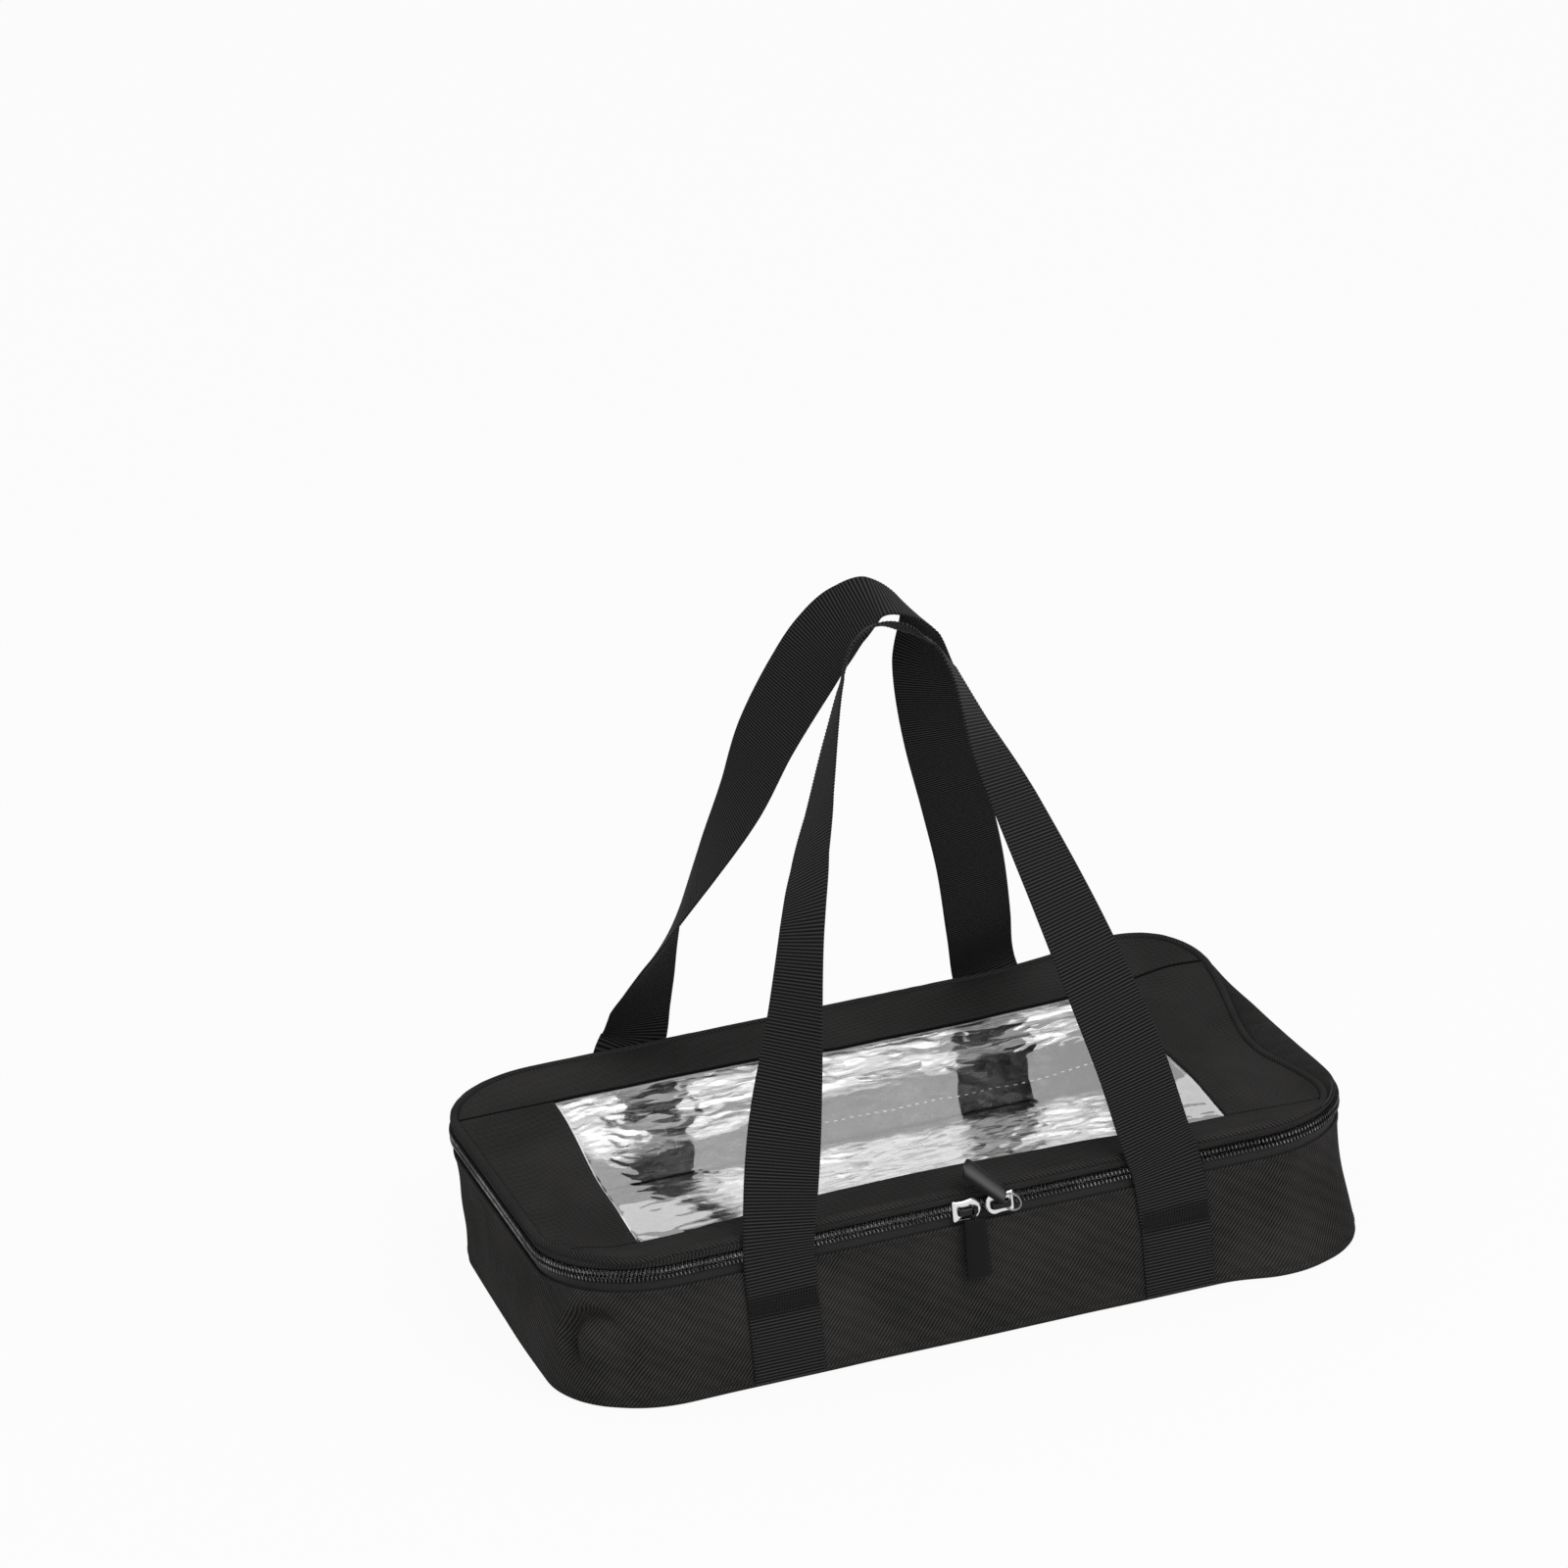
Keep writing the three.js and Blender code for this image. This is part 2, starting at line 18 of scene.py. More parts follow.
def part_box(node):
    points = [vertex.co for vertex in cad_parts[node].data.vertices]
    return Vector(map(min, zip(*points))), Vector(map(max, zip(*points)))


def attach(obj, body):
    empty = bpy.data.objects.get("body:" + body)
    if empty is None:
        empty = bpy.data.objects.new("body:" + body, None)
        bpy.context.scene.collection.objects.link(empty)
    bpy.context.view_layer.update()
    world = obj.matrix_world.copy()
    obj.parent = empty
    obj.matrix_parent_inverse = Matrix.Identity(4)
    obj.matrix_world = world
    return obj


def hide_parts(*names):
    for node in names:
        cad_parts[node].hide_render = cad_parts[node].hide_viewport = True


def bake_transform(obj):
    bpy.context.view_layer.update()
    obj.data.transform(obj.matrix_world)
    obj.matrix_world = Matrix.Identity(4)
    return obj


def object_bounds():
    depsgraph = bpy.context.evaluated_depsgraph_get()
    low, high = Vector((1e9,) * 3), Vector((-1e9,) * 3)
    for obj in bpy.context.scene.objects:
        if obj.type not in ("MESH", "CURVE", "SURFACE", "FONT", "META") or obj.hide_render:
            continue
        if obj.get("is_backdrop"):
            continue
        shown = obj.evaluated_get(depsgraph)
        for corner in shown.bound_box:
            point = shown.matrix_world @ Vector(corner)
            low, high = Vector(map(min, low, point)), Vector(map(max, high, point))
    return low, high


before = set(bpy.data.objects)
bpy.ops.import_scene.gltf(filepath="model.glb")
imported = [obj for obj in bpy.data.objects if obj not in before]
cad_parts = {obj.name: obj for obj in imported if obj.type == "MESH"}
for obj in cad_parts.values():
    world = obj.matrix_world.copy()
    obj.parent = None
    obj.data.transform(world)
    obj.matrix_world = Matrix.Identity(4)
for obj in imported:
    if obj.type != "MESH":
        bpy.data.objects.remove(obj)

cad_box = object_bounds()
MM = 0.001
print("CAD box in metres:", [tuple(round(c, 4) for c in corner) for corner in cad_box])

# %% [markdown]
# The sizes come from the frame, in millimetres, so that nothing here can drift away from the working
# parts. Only the corner radius and the seam widths, which a box can't give, are written down.

# %% Sizes that the frame gives


def box_mm(node):
    """Lowest and highest corner of a packed piece, in millimetres."""
    low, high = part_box(node)
    return np.array(low) / MM, np.array(high) / MM


half_length, half_depth = box_mm("base_panel")[1][:2]
wall_top = box_mm("wall_fabric")[1][2]
lower_coil_low, lower_coil_high = box_mm("lower_zip_coil")
upper_coil_low = box_mm("upper_zip_coil")[0]
zip_z = (lower_coil_high[2] + upper_coil_low[2]) / 2
piping_low, piping_high = box_mm("lid_piping")
piping_radius = (piping_high[2] - piping_low[2]) / 2
piping_z = (piping_high[2] + piping_low[2]) / 2
lid_top = box_mm("lid_front_strip")[1][2]
web_low, web_high = box_mm("front_left_anchor")
web_width = web_high[0] - web_low[0]
web_thickness = web_high[1] - web_low[1]
strap_x = box_mm("front_right_anchor")[1][0] - web_width / 2
window_left, window_right = box_mm("lid_left_panel")[1][0], box_mm("lid_right_panel")[0][0]
window_front, window_back = box_mm("lid_front_strip")[1][1], box_mm("lid_back_strip")[0][1]
WINDOW_EDGES = [edge * MM for edge in (window_left, window_right, window_front, window_back)]
corner_radius = 60.0
lining_inset = 6.1
print("bag", round(2 * half_length), "x", round(2 * half_depth), "mm, zip line at", round(zip_z, 1))

# %% [markdown]
# ## Camera
#
# The camera stands in front and to the left, above the lid, and is rolled a little. A long lens keeps
# the far edge nearly as long as the near one. Its three angles turn it in the order roll, pitch, yaw.

# %% Camera
CAMERA_PLACE = (-829.3, -2837.3, 1314.7)
CAMERA_YAW, CAMERA_PITCH, CAMERA_ROLL = 15.551, -19.526, -5.797
FOCAL_PIXELS, FRAME_PIXELS, SENSOR, FAR_CLIP = 6113.6, 1600, 36.0, 20.0


def add_object(name, data):
    """A new object in the scene, made from its data."""
    made = bpy.data.objects.new(name, data)
    bpy.context.collection.objects.link(made)
    return made


def make_camera():
    """A camera that looks along +Y, then is rolled, pitched and turned by its three angles."""
    data = bpy.data.cameras.new("camera")
    data.sensor_width = SENSOR
    data.lens = FOCAL_PIXELS / FRAME_PIXELS * SENSOR
    data.clip_end = FAR_CLIP
    camera = add_object("camera", data)
    roll = Matrix.Rotation(math.radians(CAMERA_ROLL), 3, "Z")
    stand = Matrix.Rotation(math.radians(90 + CAMERA_PITCH), 3, "X")
    yaw = Matrix.Rotation(math.radians(-CAMERA_YAW), 3, "Z")
    camera.matrix_world = (yaw @ stand @ roll).to_4x4()
    camera.location = Vector(CAMERA_PLACE) * MM
    bpy.context.scene.camera = camera
    return camera


camera = make_camera()
print("lens", round(camera.data.lens, 2), "mm")

# %% [markdown]
# ## Shader maths
#
# A material is a net of nodes. Drawn by hand such a net is hard to read, so a small class wraps a value
# of the net, and patterns can then be written as plain sums and products. Each operator adds one Math
# node.

# %% A value with arithmetic
TURN = 2 * math.pi


class Value:
    """A number that varies over a surface, with the operators of ordinary arithmetic."""

    def __init__(self, recipe, socket):
        self.recipe, self.socket = recipe, socket

    def maths(self, operation, *others):
        return self.recipe.node("Math", {"operation": operation}, (self, *others))

    def __add__(self, other):
        return self.maths("ADD", other)

    def __sub__(self, other):
        return self.maths("SUBTRACT", other)

    def __rsub__(self, other):
        return (self * -1.0) + other

    def __mul__(self, other):
        return self.maths("MULTIPLY", other)

    def __pow__(self, other):
        return self.maths("POWER", other)

    __radd__ = __add__
    __rmul__ = __mul__

    def sine(self):
        return self.maths("SINE")

    def size(self):
        return self.maths("ABSOLUTE")

    def between(self, low, high):
        """0 below low, 1 above high, and a smooth rise between them."""
        settings = {"interpolation_type": "SMOOTHSTEP"}
        return self.recipe.node("MapRange", settings, {"Value": self, "From Min": low, "From Max": high})


print("operators: plus, minus, times and power")

# %% [markdown]
# A recipe is one material. It adds any other kind of node, reads a place on the object or in the cloth's
# own map, and gives the surface shader its colour, roughness and relief.

# %% A material's recipe
MIX_SHARE, MIX_FIRST, MIX_SECOND, MIX_RESULT = 0, 6, 7, 2


class Recipe:
    """One material: it adds nodes, mixes colours and sets the surface shader."""

    def __init__(self, name):
        self.material = bpy.data.materials.new(name)
        self.material.use_nodes = True
        self.tree = self.material.node_tree
        self.surface = self.tree.nodes["Principled BSDF"]

    def node(self, kind, settings=None, inputs=(), output=0):
        """Adds a ShaderNode of a kind, applies its settings, feeds its sockets and returns an output."""
        made = self.tree.nodes.new("ShaderNode" + kind)
        for key, value in (settings or {}).items():
            setattr(made, key, value)
        pairs = inputs.items() if isinstance(inputs, dict) else enumerate(inputs)
        for key, value in pairs:
            self.feed(made.inputs[key], value)
        return Value(self, made.outputs[output])

    def feed(self, socket, value):
        if isinstance(value, Value):
            self.tree.links.new(value.socket, socket)
        else:
            socket.default_value = value

    def place(self):
        """Object coordinates, in metres."""
        return self.node("TexCoord", output="Object")

    def cloth_uv(self):
        """Along and across the cloth, in metres, from the piece's own map."""
        uv = self.node("UVMap", {"uv_map": "cloth"})
        parts = self.tree.nodes.new("ShaderNodeSeparateXYZ")
        self.tree.links.new(uv.socket, parts.inputs[0])
        return uv, Value(self, parts.outputs[0]), Value(self, parts.outputs[1])

    def stretched(self, vector, scale):
        """The place times a scale of its own along each axis, which makes a pattern long or short there."""
        return self.node("Mapping", inputs={"Vector": vector, "Scale": scale})

    def noise(self, vector, scale, detail=2.0, roughness=0.5, output=0):
        """Clouds of 0 to 1, so many to the metre; a scale of three numbers stretches them."""
        if isinstance(scale, tuple):
            vector, scale = self.stretched(vector, scale), 1.0
        inputs = {"Vector": vector, "Scale": scale, "Detail": detail, "Roughness": roughness}
        return self.node("TexNoise", inputs=inputs, output=output)

    def cell_shade(self, vector, scale):
        """Stretched random cells, each with one shade; adding nothing turns its colour into a number."""
        inputs = {"Vector": self.stretched(vector, scale), "Scale": 1.0}
        return self.node("TexVoronoi", {"feature": "F1"}, inputs, "Color") + 0.0

    def from_cell_edge(self, vector, scale, width):
        """0 on the edges of such cells, rising to 1 at a width from them."""
        inputs = {"Vector": self.stretched(vector, scale), "Scale": 1.0}
        return self.node("TexVoronoi", {"feature": "DISTANCE_TO_EDGE"}, inputs).between(0.0, width)

    def mix(self, share, first, second):
        """A colour between two others, by a share that varies; the first may itself be a mix."""
        made = self.tree.nodes.new("ShaderNodeMix")
        made.data_type = "RGBA"
        self.feed(made.inputs[MIX_SHARE], share)
        self.feed(made.inputs[MIX_FIRST], first if isinstance(first, Value) else (*first, 1))
        self.feed(made.inputs[MIX_SECOND], (*second, 1))
        return Value(self, made.outputs[MIX_RESULT])

    def bump(self, height, distance, strength=1.0):
        """Leans the surface as if it stood out by a height of 0 to 1 times a distance in metres."""
        inputs = {"Height": height, "Distance": distance, "Strength": strength}
        self.tree.links.new(self.node("Bump", inputs=inputs).socket, self.surface.inputs["Normal"])

    def finish(self, **sockets):
        """Sets sockets of the surface shader by name, with _ for a space."""
        for key, value in sockets.items():
            self.feed(self.surface.inputs[key.replace("_", " ").title().replace("Ior", "IOR")], value)
        return self.material


def grey(level):
    return (level, level, level)


print("recipe methods:", [name for name in vars(Recipe) if not name.startswith("_")])

# %% [markdown]
# ## Cloth finishes
#
# The bag is coarse polyester with a slanted grain; the lid is a finer, smoother cloth. Both are nearly
# black, so the grain shows as a change of shade as well as in relief. The pattern reads each piece's own
# map, in metres, so its yarns follow the cloth round a corner. The lid cloth has a painted shadow along
# the two lines where strip and panel meet.

# %% Cloth
SEAM_SHADOW = (0.4 * MM, 1.3 * MM)
YARN_WANDER = 1.2 * MM
BODY_COLOUR, LID_COLOUR = (0.0240, 0.0230, 0.0224), (0.0246, 0.0237, 0.0232)


def woven_cloth(name, colour, yarn, slant, contrast, relief, rough, seams=()):
    """Two sets of yarns crossing, plus a slanted grain: sin(along) and sin(across), and sin of their sum.
    Lengths are in metres. Seams are places across the cloth where a painted shadow darkens it."""
    r = Recipe(name)
    uv, along, across = r.cloth_uv()
    wander = r.noise(uv, 90.0, 3.0) * YARN_WANDER
    warp = ((along + wander) * (TURN / yarn)).sine()
    weft = ((across + wander) * (TURN / yarn)).sine()
    grain = ((along * 0.8 + across + wander) * (TURN / slant)).sine()
    fleck = r.noise(uv, 900.0, 2.0)
    shade = r.noise(uv, 14.0, 3.0).between(0.3, 0.7)
    height = warp * weft * 0.32 + grain * 0.30 + fleck * 0.3 + 0.35
    light = height.between(0.15, 0.85) * 0.80 + shade * 0.20
    # A painted shadow along each seam darkens the cloth's colour there.
    for seam in seams:
        light = light * (across - seam).size().between(*SEAM_SHADOW)
    dark = tuple(c * (1 - contrast * 0.62) for c in colour)
    pale = tuple(c * (1 + contrast * 1.5) for c in colour)
    r.bump(height, relief)
    return r.finish(base_color=r.mix(light, dark, pale), roughness=0.96 - fleck * rough,
                    specular_ior_level=0.02)


body_cloth = woven_cloth("body_cloth", BODY_COLOUR, yarn=1.2 * MM, slant=2.2 * MM, contrast=1.45,
                         relief=0.26 * MM, rough=0.16)
lid_cloth = woven_cloth("lid_cloth", LID_COLOUR, yarn=0.9 * MM, slant=1.9 * MM, contrast=1.1,
                        relief=0.14 * MM, rough=0.10, seams=WINDOW_EDGES[2:])
print("cloth:", body_cloth.name, lid_cloth.name)

# %% [markdown]
# Webbing is woven with thick crosswise ribs. The ribs are real relief in the mesh, and the map's second
# number runs along the strap in step with them, so that the gaps between ribs get a painted shade and
# the crests a painted light.

# %% Webbing, thread and tape
RIB_PITCH = 1.8
WEB_YARN, TAPE_RIB, TAPE_ROW = 0.9 * MM, 1.05 * MM, 1.6 * MM


def ribbed_webbing():
    """Painted light on the rib crests and painted shade in the gaps, and fine lengthwise yarns break each
    rib into short bars.
    """
    r = Recipe("webbing")
    uv, across, along = r.cloth_uv()
    crest = (along * (TURN / (RIB_PITCH * MM))).maths("COSINE") * 0.5 + 0.5
    yarns = (across * (TURN / WEB_YARN)).sine() * 0.5 + 0.5
    fleck = r.noise(uv, 700.0, 2.0)
    # Painted light on the rib crests and painted shade in the gaps between ribs.
    light = crest ** 2.0 * (yarns * 0.3 + 0.7) + fleck * 0.16 - 0.05
    r.bump(yarns * crest * 0.5 + fleck * 0.3, 0.12 * MM)
    return r.finish(base_color=r.mix(light, grey(0.0045), grey(0.0640)), roughness=0.85 - crest * 0.15,
                    specular_ior_level=0.08)


def spun_thread(name, level, rough):
    """Twisted thread, too fine to show its twist: a fleck of paler and darker fibres."""
    r = Recipe(name)
    fleck = r.noise(r.place(), 2500.0, 2.0)
    r.bump(fleck, 0.1 * MM)
    return r.finish(base_color=r.mix(fleck, grey(level * 0.6), grey(level * 1.5)), roughness=rough,
                    specular_ior_level=0.1)


def ribbed_tape():
    """Zip tape: fine ribs across its width and rows along it, two sines added."""
    r = Recipe("zip_tape")
    _, along, across = r.cloth_uv()
    rib = (along * (TURN / TAPE_RIB)).sine() * 0.5 + 0.5
    row = (across * (TURN / TAPE_ROW)).sine() * 0.5 + 0.5
    height = rib * 0.7 + row * 0.3
    r.bump(height, 0.15 * MM)
    return r.finish(base_color=r.mix(height, grey(0.005), grey(0.016)), roughness=0.82)


webbing = ribbed_webbing()
thread = spun_thread("thread", level=0.032, rough=0.6)
bar_thread = spun_thread("bar_thread", level=0.020, rough=0.9)
tape_cloth = ribbed_tape()
print("webbing rib pitch", RIB_PITCH, "mm")

# %% [markdown]
# ## Shiny finishes
#
# The lining is silver foil on film, creased into small facets. The window film mirrors part of what is
# around it and lets the rest through: as a metal with partial alpha it keeps both in one shader, and the
# white glare of a crease is a painted highlight, so it shows from every side. The coil is nylon, the
# sliders are bright nickel with dark crowns, and the grips are dull rubber.

# %% Foil


def creased_foil():
    """Cells stretched along the bag give flat facets; their edges are the creases."""
    r = Recipe("foil")
    place = r.place()
    bend = r.noise(place, 30.0, 2.0)
    facet = r.from_cell_edge(place, (45.0, 90.0, 90.0), width=0.4)
    fine = r.noise(place, (160.0, 380.0, 380.0), 3.0, 0.6)
    r.bump(facet * 0.5 + fine * 0.5 + bend * 0.8, 1.2 * MM, 0.8)
    return r.finish(base_color=r.mix(bend, grey(0.50), grey(0.74)), metallic=1.0,
                    roughness=fine * 0.12 + 0.22)


foil = creased_foil()
print("foil of", len(foil.node_tree.nodes), "nodes")

# %% [markdown]
# A mirror alone would show creases only where something pale happens to stand in the right place. So the
# film's crumpled zones get painted highlights as well: which zone a point is in, which cell of the zone,
# and how near it is to a crack. The zones' edges are soft and wander, or they would look drawn.

# %% Clear film
# Zones of painted glare, widths of the painted edge highlight and dotted glints, and the cells of the glare.
BACK_ZONE, BACK_WIDENS, BACK_WIDER = (0.024, 0.040), (0.045, 0.095), 0.020
FRONT_ZONE, FRONT_LEFT_END, FRONT_RIGHT_END = (0.026, 0.048), (0.108, 0.140), (0.078, 0.125)
LEFT_ZONE, LEFT_ZONE_DEPTH = (0.112, 0.140), (-0.016, 0.008)
FILM_EDGE_HIGHLIGHT = (-1.6 * MM, -0.8 * MM)
DOT_PITCH, DOT_HALF, DOT_LINE, DOT_START = 4.6 * MM, (0.3 * MM, 0.9 * MM), -3.0 * MM, (-0.05, -0.03)
LONG_CELLS, SMALL_CELLS, SHARP_CELLS = (38.0, 210.0, 60.0), (150.0, 430.0, 90.0), (120.0, 250.0, 90.0)
CRACK_GLINT_CELLS, FIBRES, STREAKS = (95.0, 200.0, 80.0), (70.0, 520.0, 80.0), (30.0, 150.0, 40.0)


def film_zones(x, y, wander):
    """Where the film is crushed, 0 to 1: at the back, in front but for its two ends, and at the left.
    The wander bends the edge of each zone."""
    bent = y + wander * 0.050
    back = (bent + (x * -1.0).between(*BACK_WIDENS) * BACK_WIDER).between(*BACK_ZONE)
    front = (bent * -1.0).between(*FRONT_ZONE) * (1.0 - (wander * 0.06 - x).between(*FRONT_LEFT_END))
    front = front * (1.0 - (x + wander * 0.08).between(*FRONT_RIGHT_END) * 0.9)
    left = (wander * 0.05 - x).between(*LEFT_ZONE) * bent.between(*LEFT_ZONE_DEPTH)
    return back, front, left


def film_painted_highlights(x, y, wander, crushed):
    """Painted highlights as white lines: one along each edge but the right, where the film turns under the
    cloth, and a dotted line of painted glints along the calm middle."""
    left_edge, _, front_edge, back_edge = WINDOW_EDGES
    edge = (y - back_edge).between(*FILM_EDGE_HIGHLIGHT) + (front_edge - y).between(*FILM_EDGE_HIGHLIGHT)
    edge = (edge + (left_edge - x).between(*FILM_EDGE_HIGHLIGHT)) * 0.6
    dashes = (x * (TURN / DOT_PITCH)).sine().between(0.1, 0.4) * x.between(*DOT_START)
    dotted = dashes * (1.0 - (y - DOT_LINE + wander * 0.012).size().between(*DOT_HALF))
    return edge, dotted * (1.0 - crushed), dotted


def window_film():
    """A half mirror with painted highlights. Its crushed zones are made of cells with a painted glare each,
    long ones at the back, small ones in front and sharp ones with painted white cracks at the left. Where
    the painted glare is pale the film is less metallic and less clear, and where it is crushed it is
    rougher."""
    r = Recipe("window_film")
    place, x, y = r.cloth_uv()
    wander = r.noise(place, 20.0, 3.0, 0.6) - 0.5
    back, front, left = film_zones(x, y, wander)
    crushed = (back + front + left).maths("MINIMUM", 1.0)
    drift = r.noise(place, 55.0, 2.0, output="Color")
    swirl = r.node("VectorMath", {"operation": "SCALE"}, {"Vector": drift, "Scale": 12 * MM})
    moved = r.node("VectorMath", {"operation": "ADD"}, (place, swirl))
    fibre = r.noise(moved, FIBRES, 3.0, 0.65)
    crack_glint = 1.0 - r.from_cell_edge(moved, CRACK_GLINT_CELLS, width=0.06)
    # Each cell's shade sets the strength of its painted glare; the cracks between cells are painted white
    # glints.
    shade = r.cell_shade(moved, LONG_CELLS) * back + r.cell_shade(moved, SMALL_CELLS) * front * 0.6
    shade = shade + r.cell_shade(moved, SHARP_CELLS) * left + front * 0.34
    glare = (shade * 0.75 + fibre * 0.65).between(0.36, 0.90) ** 1.4 * (0.98 - left * 0.30)
    glare = glare + crack_glint * (left * 0.65 + 0.10)
    # Painted highlights along the edges and the dotted painted glints join the painted glare.
    edge, dot_glints, dotted = film_painted_highlights(x, y, wander, crushed)
    light = (crushed * glare + edge + dot_glints).maths("MINIMUM", 1.0)
    streak = r.noise(place, STREAKS, 3.0, 0.5)
    r.bump((streak * 0.7 + fibre * 0.3) * (crushed * 0.98 + 0.02), 0.6 * MM, 0.7)
    dull = r.mix(crushed, grey(0.42), grey(0.25))
    return r.finish(base_color=r.mix(light, dull, grey(0.98)), metallic=1.0 - light * 0.65,
                    roughness=crushed * 0.12 + dotted * 0.2 + 0.03,
                    alpha=light * 0.2 + crushed * 0.16 + 0.60)


film = window_film()
print("film of", len(film.node_tree.nodes), "nodes")

# %% [markdown]
# The coil has a painted highlight where each turn faces outwards, brighter in some stretches than in
# others. The grips have one polished ridge from end to end, glossy and with a painted highlight.

# %% Nylon, metal, rubber and foam
GRIP_ROUND = 4.0


def nylon_coil():
    """The map counts the coil's turns by thousandths; a quarter turn in, a strand faces out and has a
    painted highlight.
    """
    r = Recipe("nylon")
    _, turns, _ = r.cloth_uv()
    # A painted highlight on each turn where it faces out, brighter in some stretches of the coil than in
    # others.
    painted_turn_highlight = (turns * (TURN / MM)).sine().between(0.80, 0.98)
    glint_stretches = r.noise(r.place(), 26.0, 2.0).between(0.38, 0.62) * 0.7 + 0.3
    fleck = (r.noise(r.place(), 400.0, 2.0).between(0.35, 0.65) * 0.6 + 0.4) * glint_stretches
    return r.finish(base_color=r.mix(painted_turn_highlight * fleck, grey(0.003), grey(0.44)), roughness=0.35,
                    specular_ior_level=0.15)


def plated_metal(name, low, high, rough):
    """Plating with faint brushed lines and a slightly uneven polish."""
    r = Recipe(name)
    place = r.place()
    lines = r.noise(place, (300.0, 300.0, 2600.0), 2.0)
    r.bump(lines, 0.02 * MM)
    return r.finish(base_color=r.mix(lines, grey(low), grey(high)), metallic=1.0,
                    roughness=lines * 0.12 + rough)


def moulded_rubber():
    """Dull and nearly black, with one polished ridge along the grip that also has a painted highlight: the
    map's first number runs round it."""
    r = Recipe("grip_rubber")
    _, around, _ = r.cloth_uv()
    # The ridge is glossy under the coat, and its colour is lighter: a painted highlight along the grip.
    ridge = ((around * (1 / (GRIP_ROUND * MM))).maths("COSINE") * 0.5 + 0.5) ** 24.0
    skin = r.noise(r.place(), 2200.0, 2.0)
    r.bump(skin, 0.03 * MM)
    return r.finish(base_color=r.mix(ridge, grey(0.0080), grey(0.055)), roughness=skin * 0.08 + 0.5,
                    specular_ior_level=0.1, coat_weight=ridge, coat_roughness=0.3)


def open_foam():
    """Pale sheet foam with small pores."""
    r = Recipe("foam")
    cells = r.noise(r.place(), 1500.0, 3.0)
    r.bump(cells, 0.3 * MM)
    return r.finish(base_color=r.mix(cells, grey(0.55), grey(0.78)), roughness=0.95)


nickel = plated_metal("nickel", low=0.66, high=0.82, rough=0.16)
wire_metal = plated_metal("wire_metal", low=0.16, high=0.30, rough=0.18)
dark_metal = plated_metal("dark_metal", low=0.018, high=0.032, rough=0.16)
nylon, rubber, foam = nylon_coil(), moulded_rubber(), open_foam()
print("metals:", nickel.name, wire_metal.name, dark_metal.name)

# %% [markdown]
# ## Light, floor and background
#
# Everything stands on a pale floor under a soft, even sky. One large lamp in front, high and a little to
# the right, shapes the cloth. A long lamp behind the bag, which only mirrors see, gives the film and foil
# their streaks. The floor and sky look white to the camera and in mirrors, and dimmer to the cloth.

# %% Sky and floor
SKY_LEVEL = 0.50
FLOOR_REACH, FLOOR_LEVEL, FLOOR_GREY, FLOOR_GLOW = 6.0, -0.0003, 0.82, 0.94


def seen_or_mirrored(nodes, links):
    """1 for rays from the camera, off a mirror or through film, and 0 for the light on a surface."""
    path = nodes.new("ShaderNodeLightPath")
    total = path.outputs["Is Camera Ray"]
    for name in ("Is Glossy Ray", "Is Transmission Ray"):
        larger = nodes.new("ShaderNodeMath")
        larger.operation = "MAXIMUM"
        links.new(total, larger.inputs[0])
        links.new(path.outputs[name], larger.inputs[1])
        total = larger.outputs[0]
    return total


def make_sky():
    world = bpy.data.worlds.new("sky")
    world.use_nodes = True
    nodes, links = world.node_tree.nodes, world.node_tree.links
    strength = nodes.new("ShaderNodeMapRange")
    strength.inputs["To Min"].default_value = SKY_LEVEL
    strength.inputs["To Max"].default_value = 1.0
    links.new(seen_or_mirrored(nodes, links), strength.inputs["Value"])
    background = nodes["Background"]
    background.inputs["Color"].default_value = (1, 1, 1, 1)
    links.new(strength.outputs[0], background.inputs["Strength"])
    bpy.context.scene.world = world


def make_floor():
    """A wide flat floor; to the camera it is part white glow and part real shade, so shadows stay soft."""
    mesh = bpy.data.meshes.new("floor")
    signs = ((-1, -1), (1, -1), (1, 1), (-1, 1))
    corners = [(x * FLOOR_REACH, y * FLOOR_REACH, FLOOR_LEVEL) for x, y in signs]
    mesh.from_pydata(corners, [], [(0, 1, 2, 3)])
    floor = add_object("floor", mesh)
    material = bpy.data.materials.new("floor_white")
    material.use_nodes = True
    nodes, links = material.node_tree.nodes, material.node_tree.links
    surface = nodes["Principled BSDF"]
    surface.inputs["Base Color"].default_value = (*grey(FLOOR_GREY), 1)
    surface.inputs["Roughness"].default_value = 1.0
    surface.inputs["Specular IOR Level"].default_value = 0.0
    glow = nodes.new("ShaderNodeEmission")
    share = nodes.new("ShaderNodeMath")
    share.operation = "MULTIPLY"
    share.inputs[1].default_value = FLOOR_GLOW
    links.new(seen_or_mirrored(nodes, links), share.inputs[0])
    mixed = nodes.new("ShaderNodeMixShader")
    links.new(share.outputs[0], mixed.inputs[0])
    links.new(surface.outputs[0], mixed.inputs[1])
    links.new(glow.outputs[0], mixed.inputs[2])
    links.new(mixed.outputs[0], nodes["Material Output"].inputs["Surface"])
    mesh.materials.append(material)
    floor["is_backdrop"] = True


make_sky()
make_floor()
print("sky level", SKY_LEVEL)

# %% [markdown]
# A lamp is a rectangle that faces a target. The larger it is, the softer its light.

# %% Lamps


def make_lamp(name, place, target, width, height, power):
    """A rectangular lamp at a place in metres, facing a target."""
    data = bpy.data.lights.new(name, "AREA")
    data.shape, data.size, data.size_y, data.energy = "RECTANGLE", width, height, power
    lamp = add_object(name, data)
    lamp.location = place
    lamp.rotation_euler = (Vector(target) - Vector(place)).to_track_quat("-Z", "Y").to_euler()
    return lamp


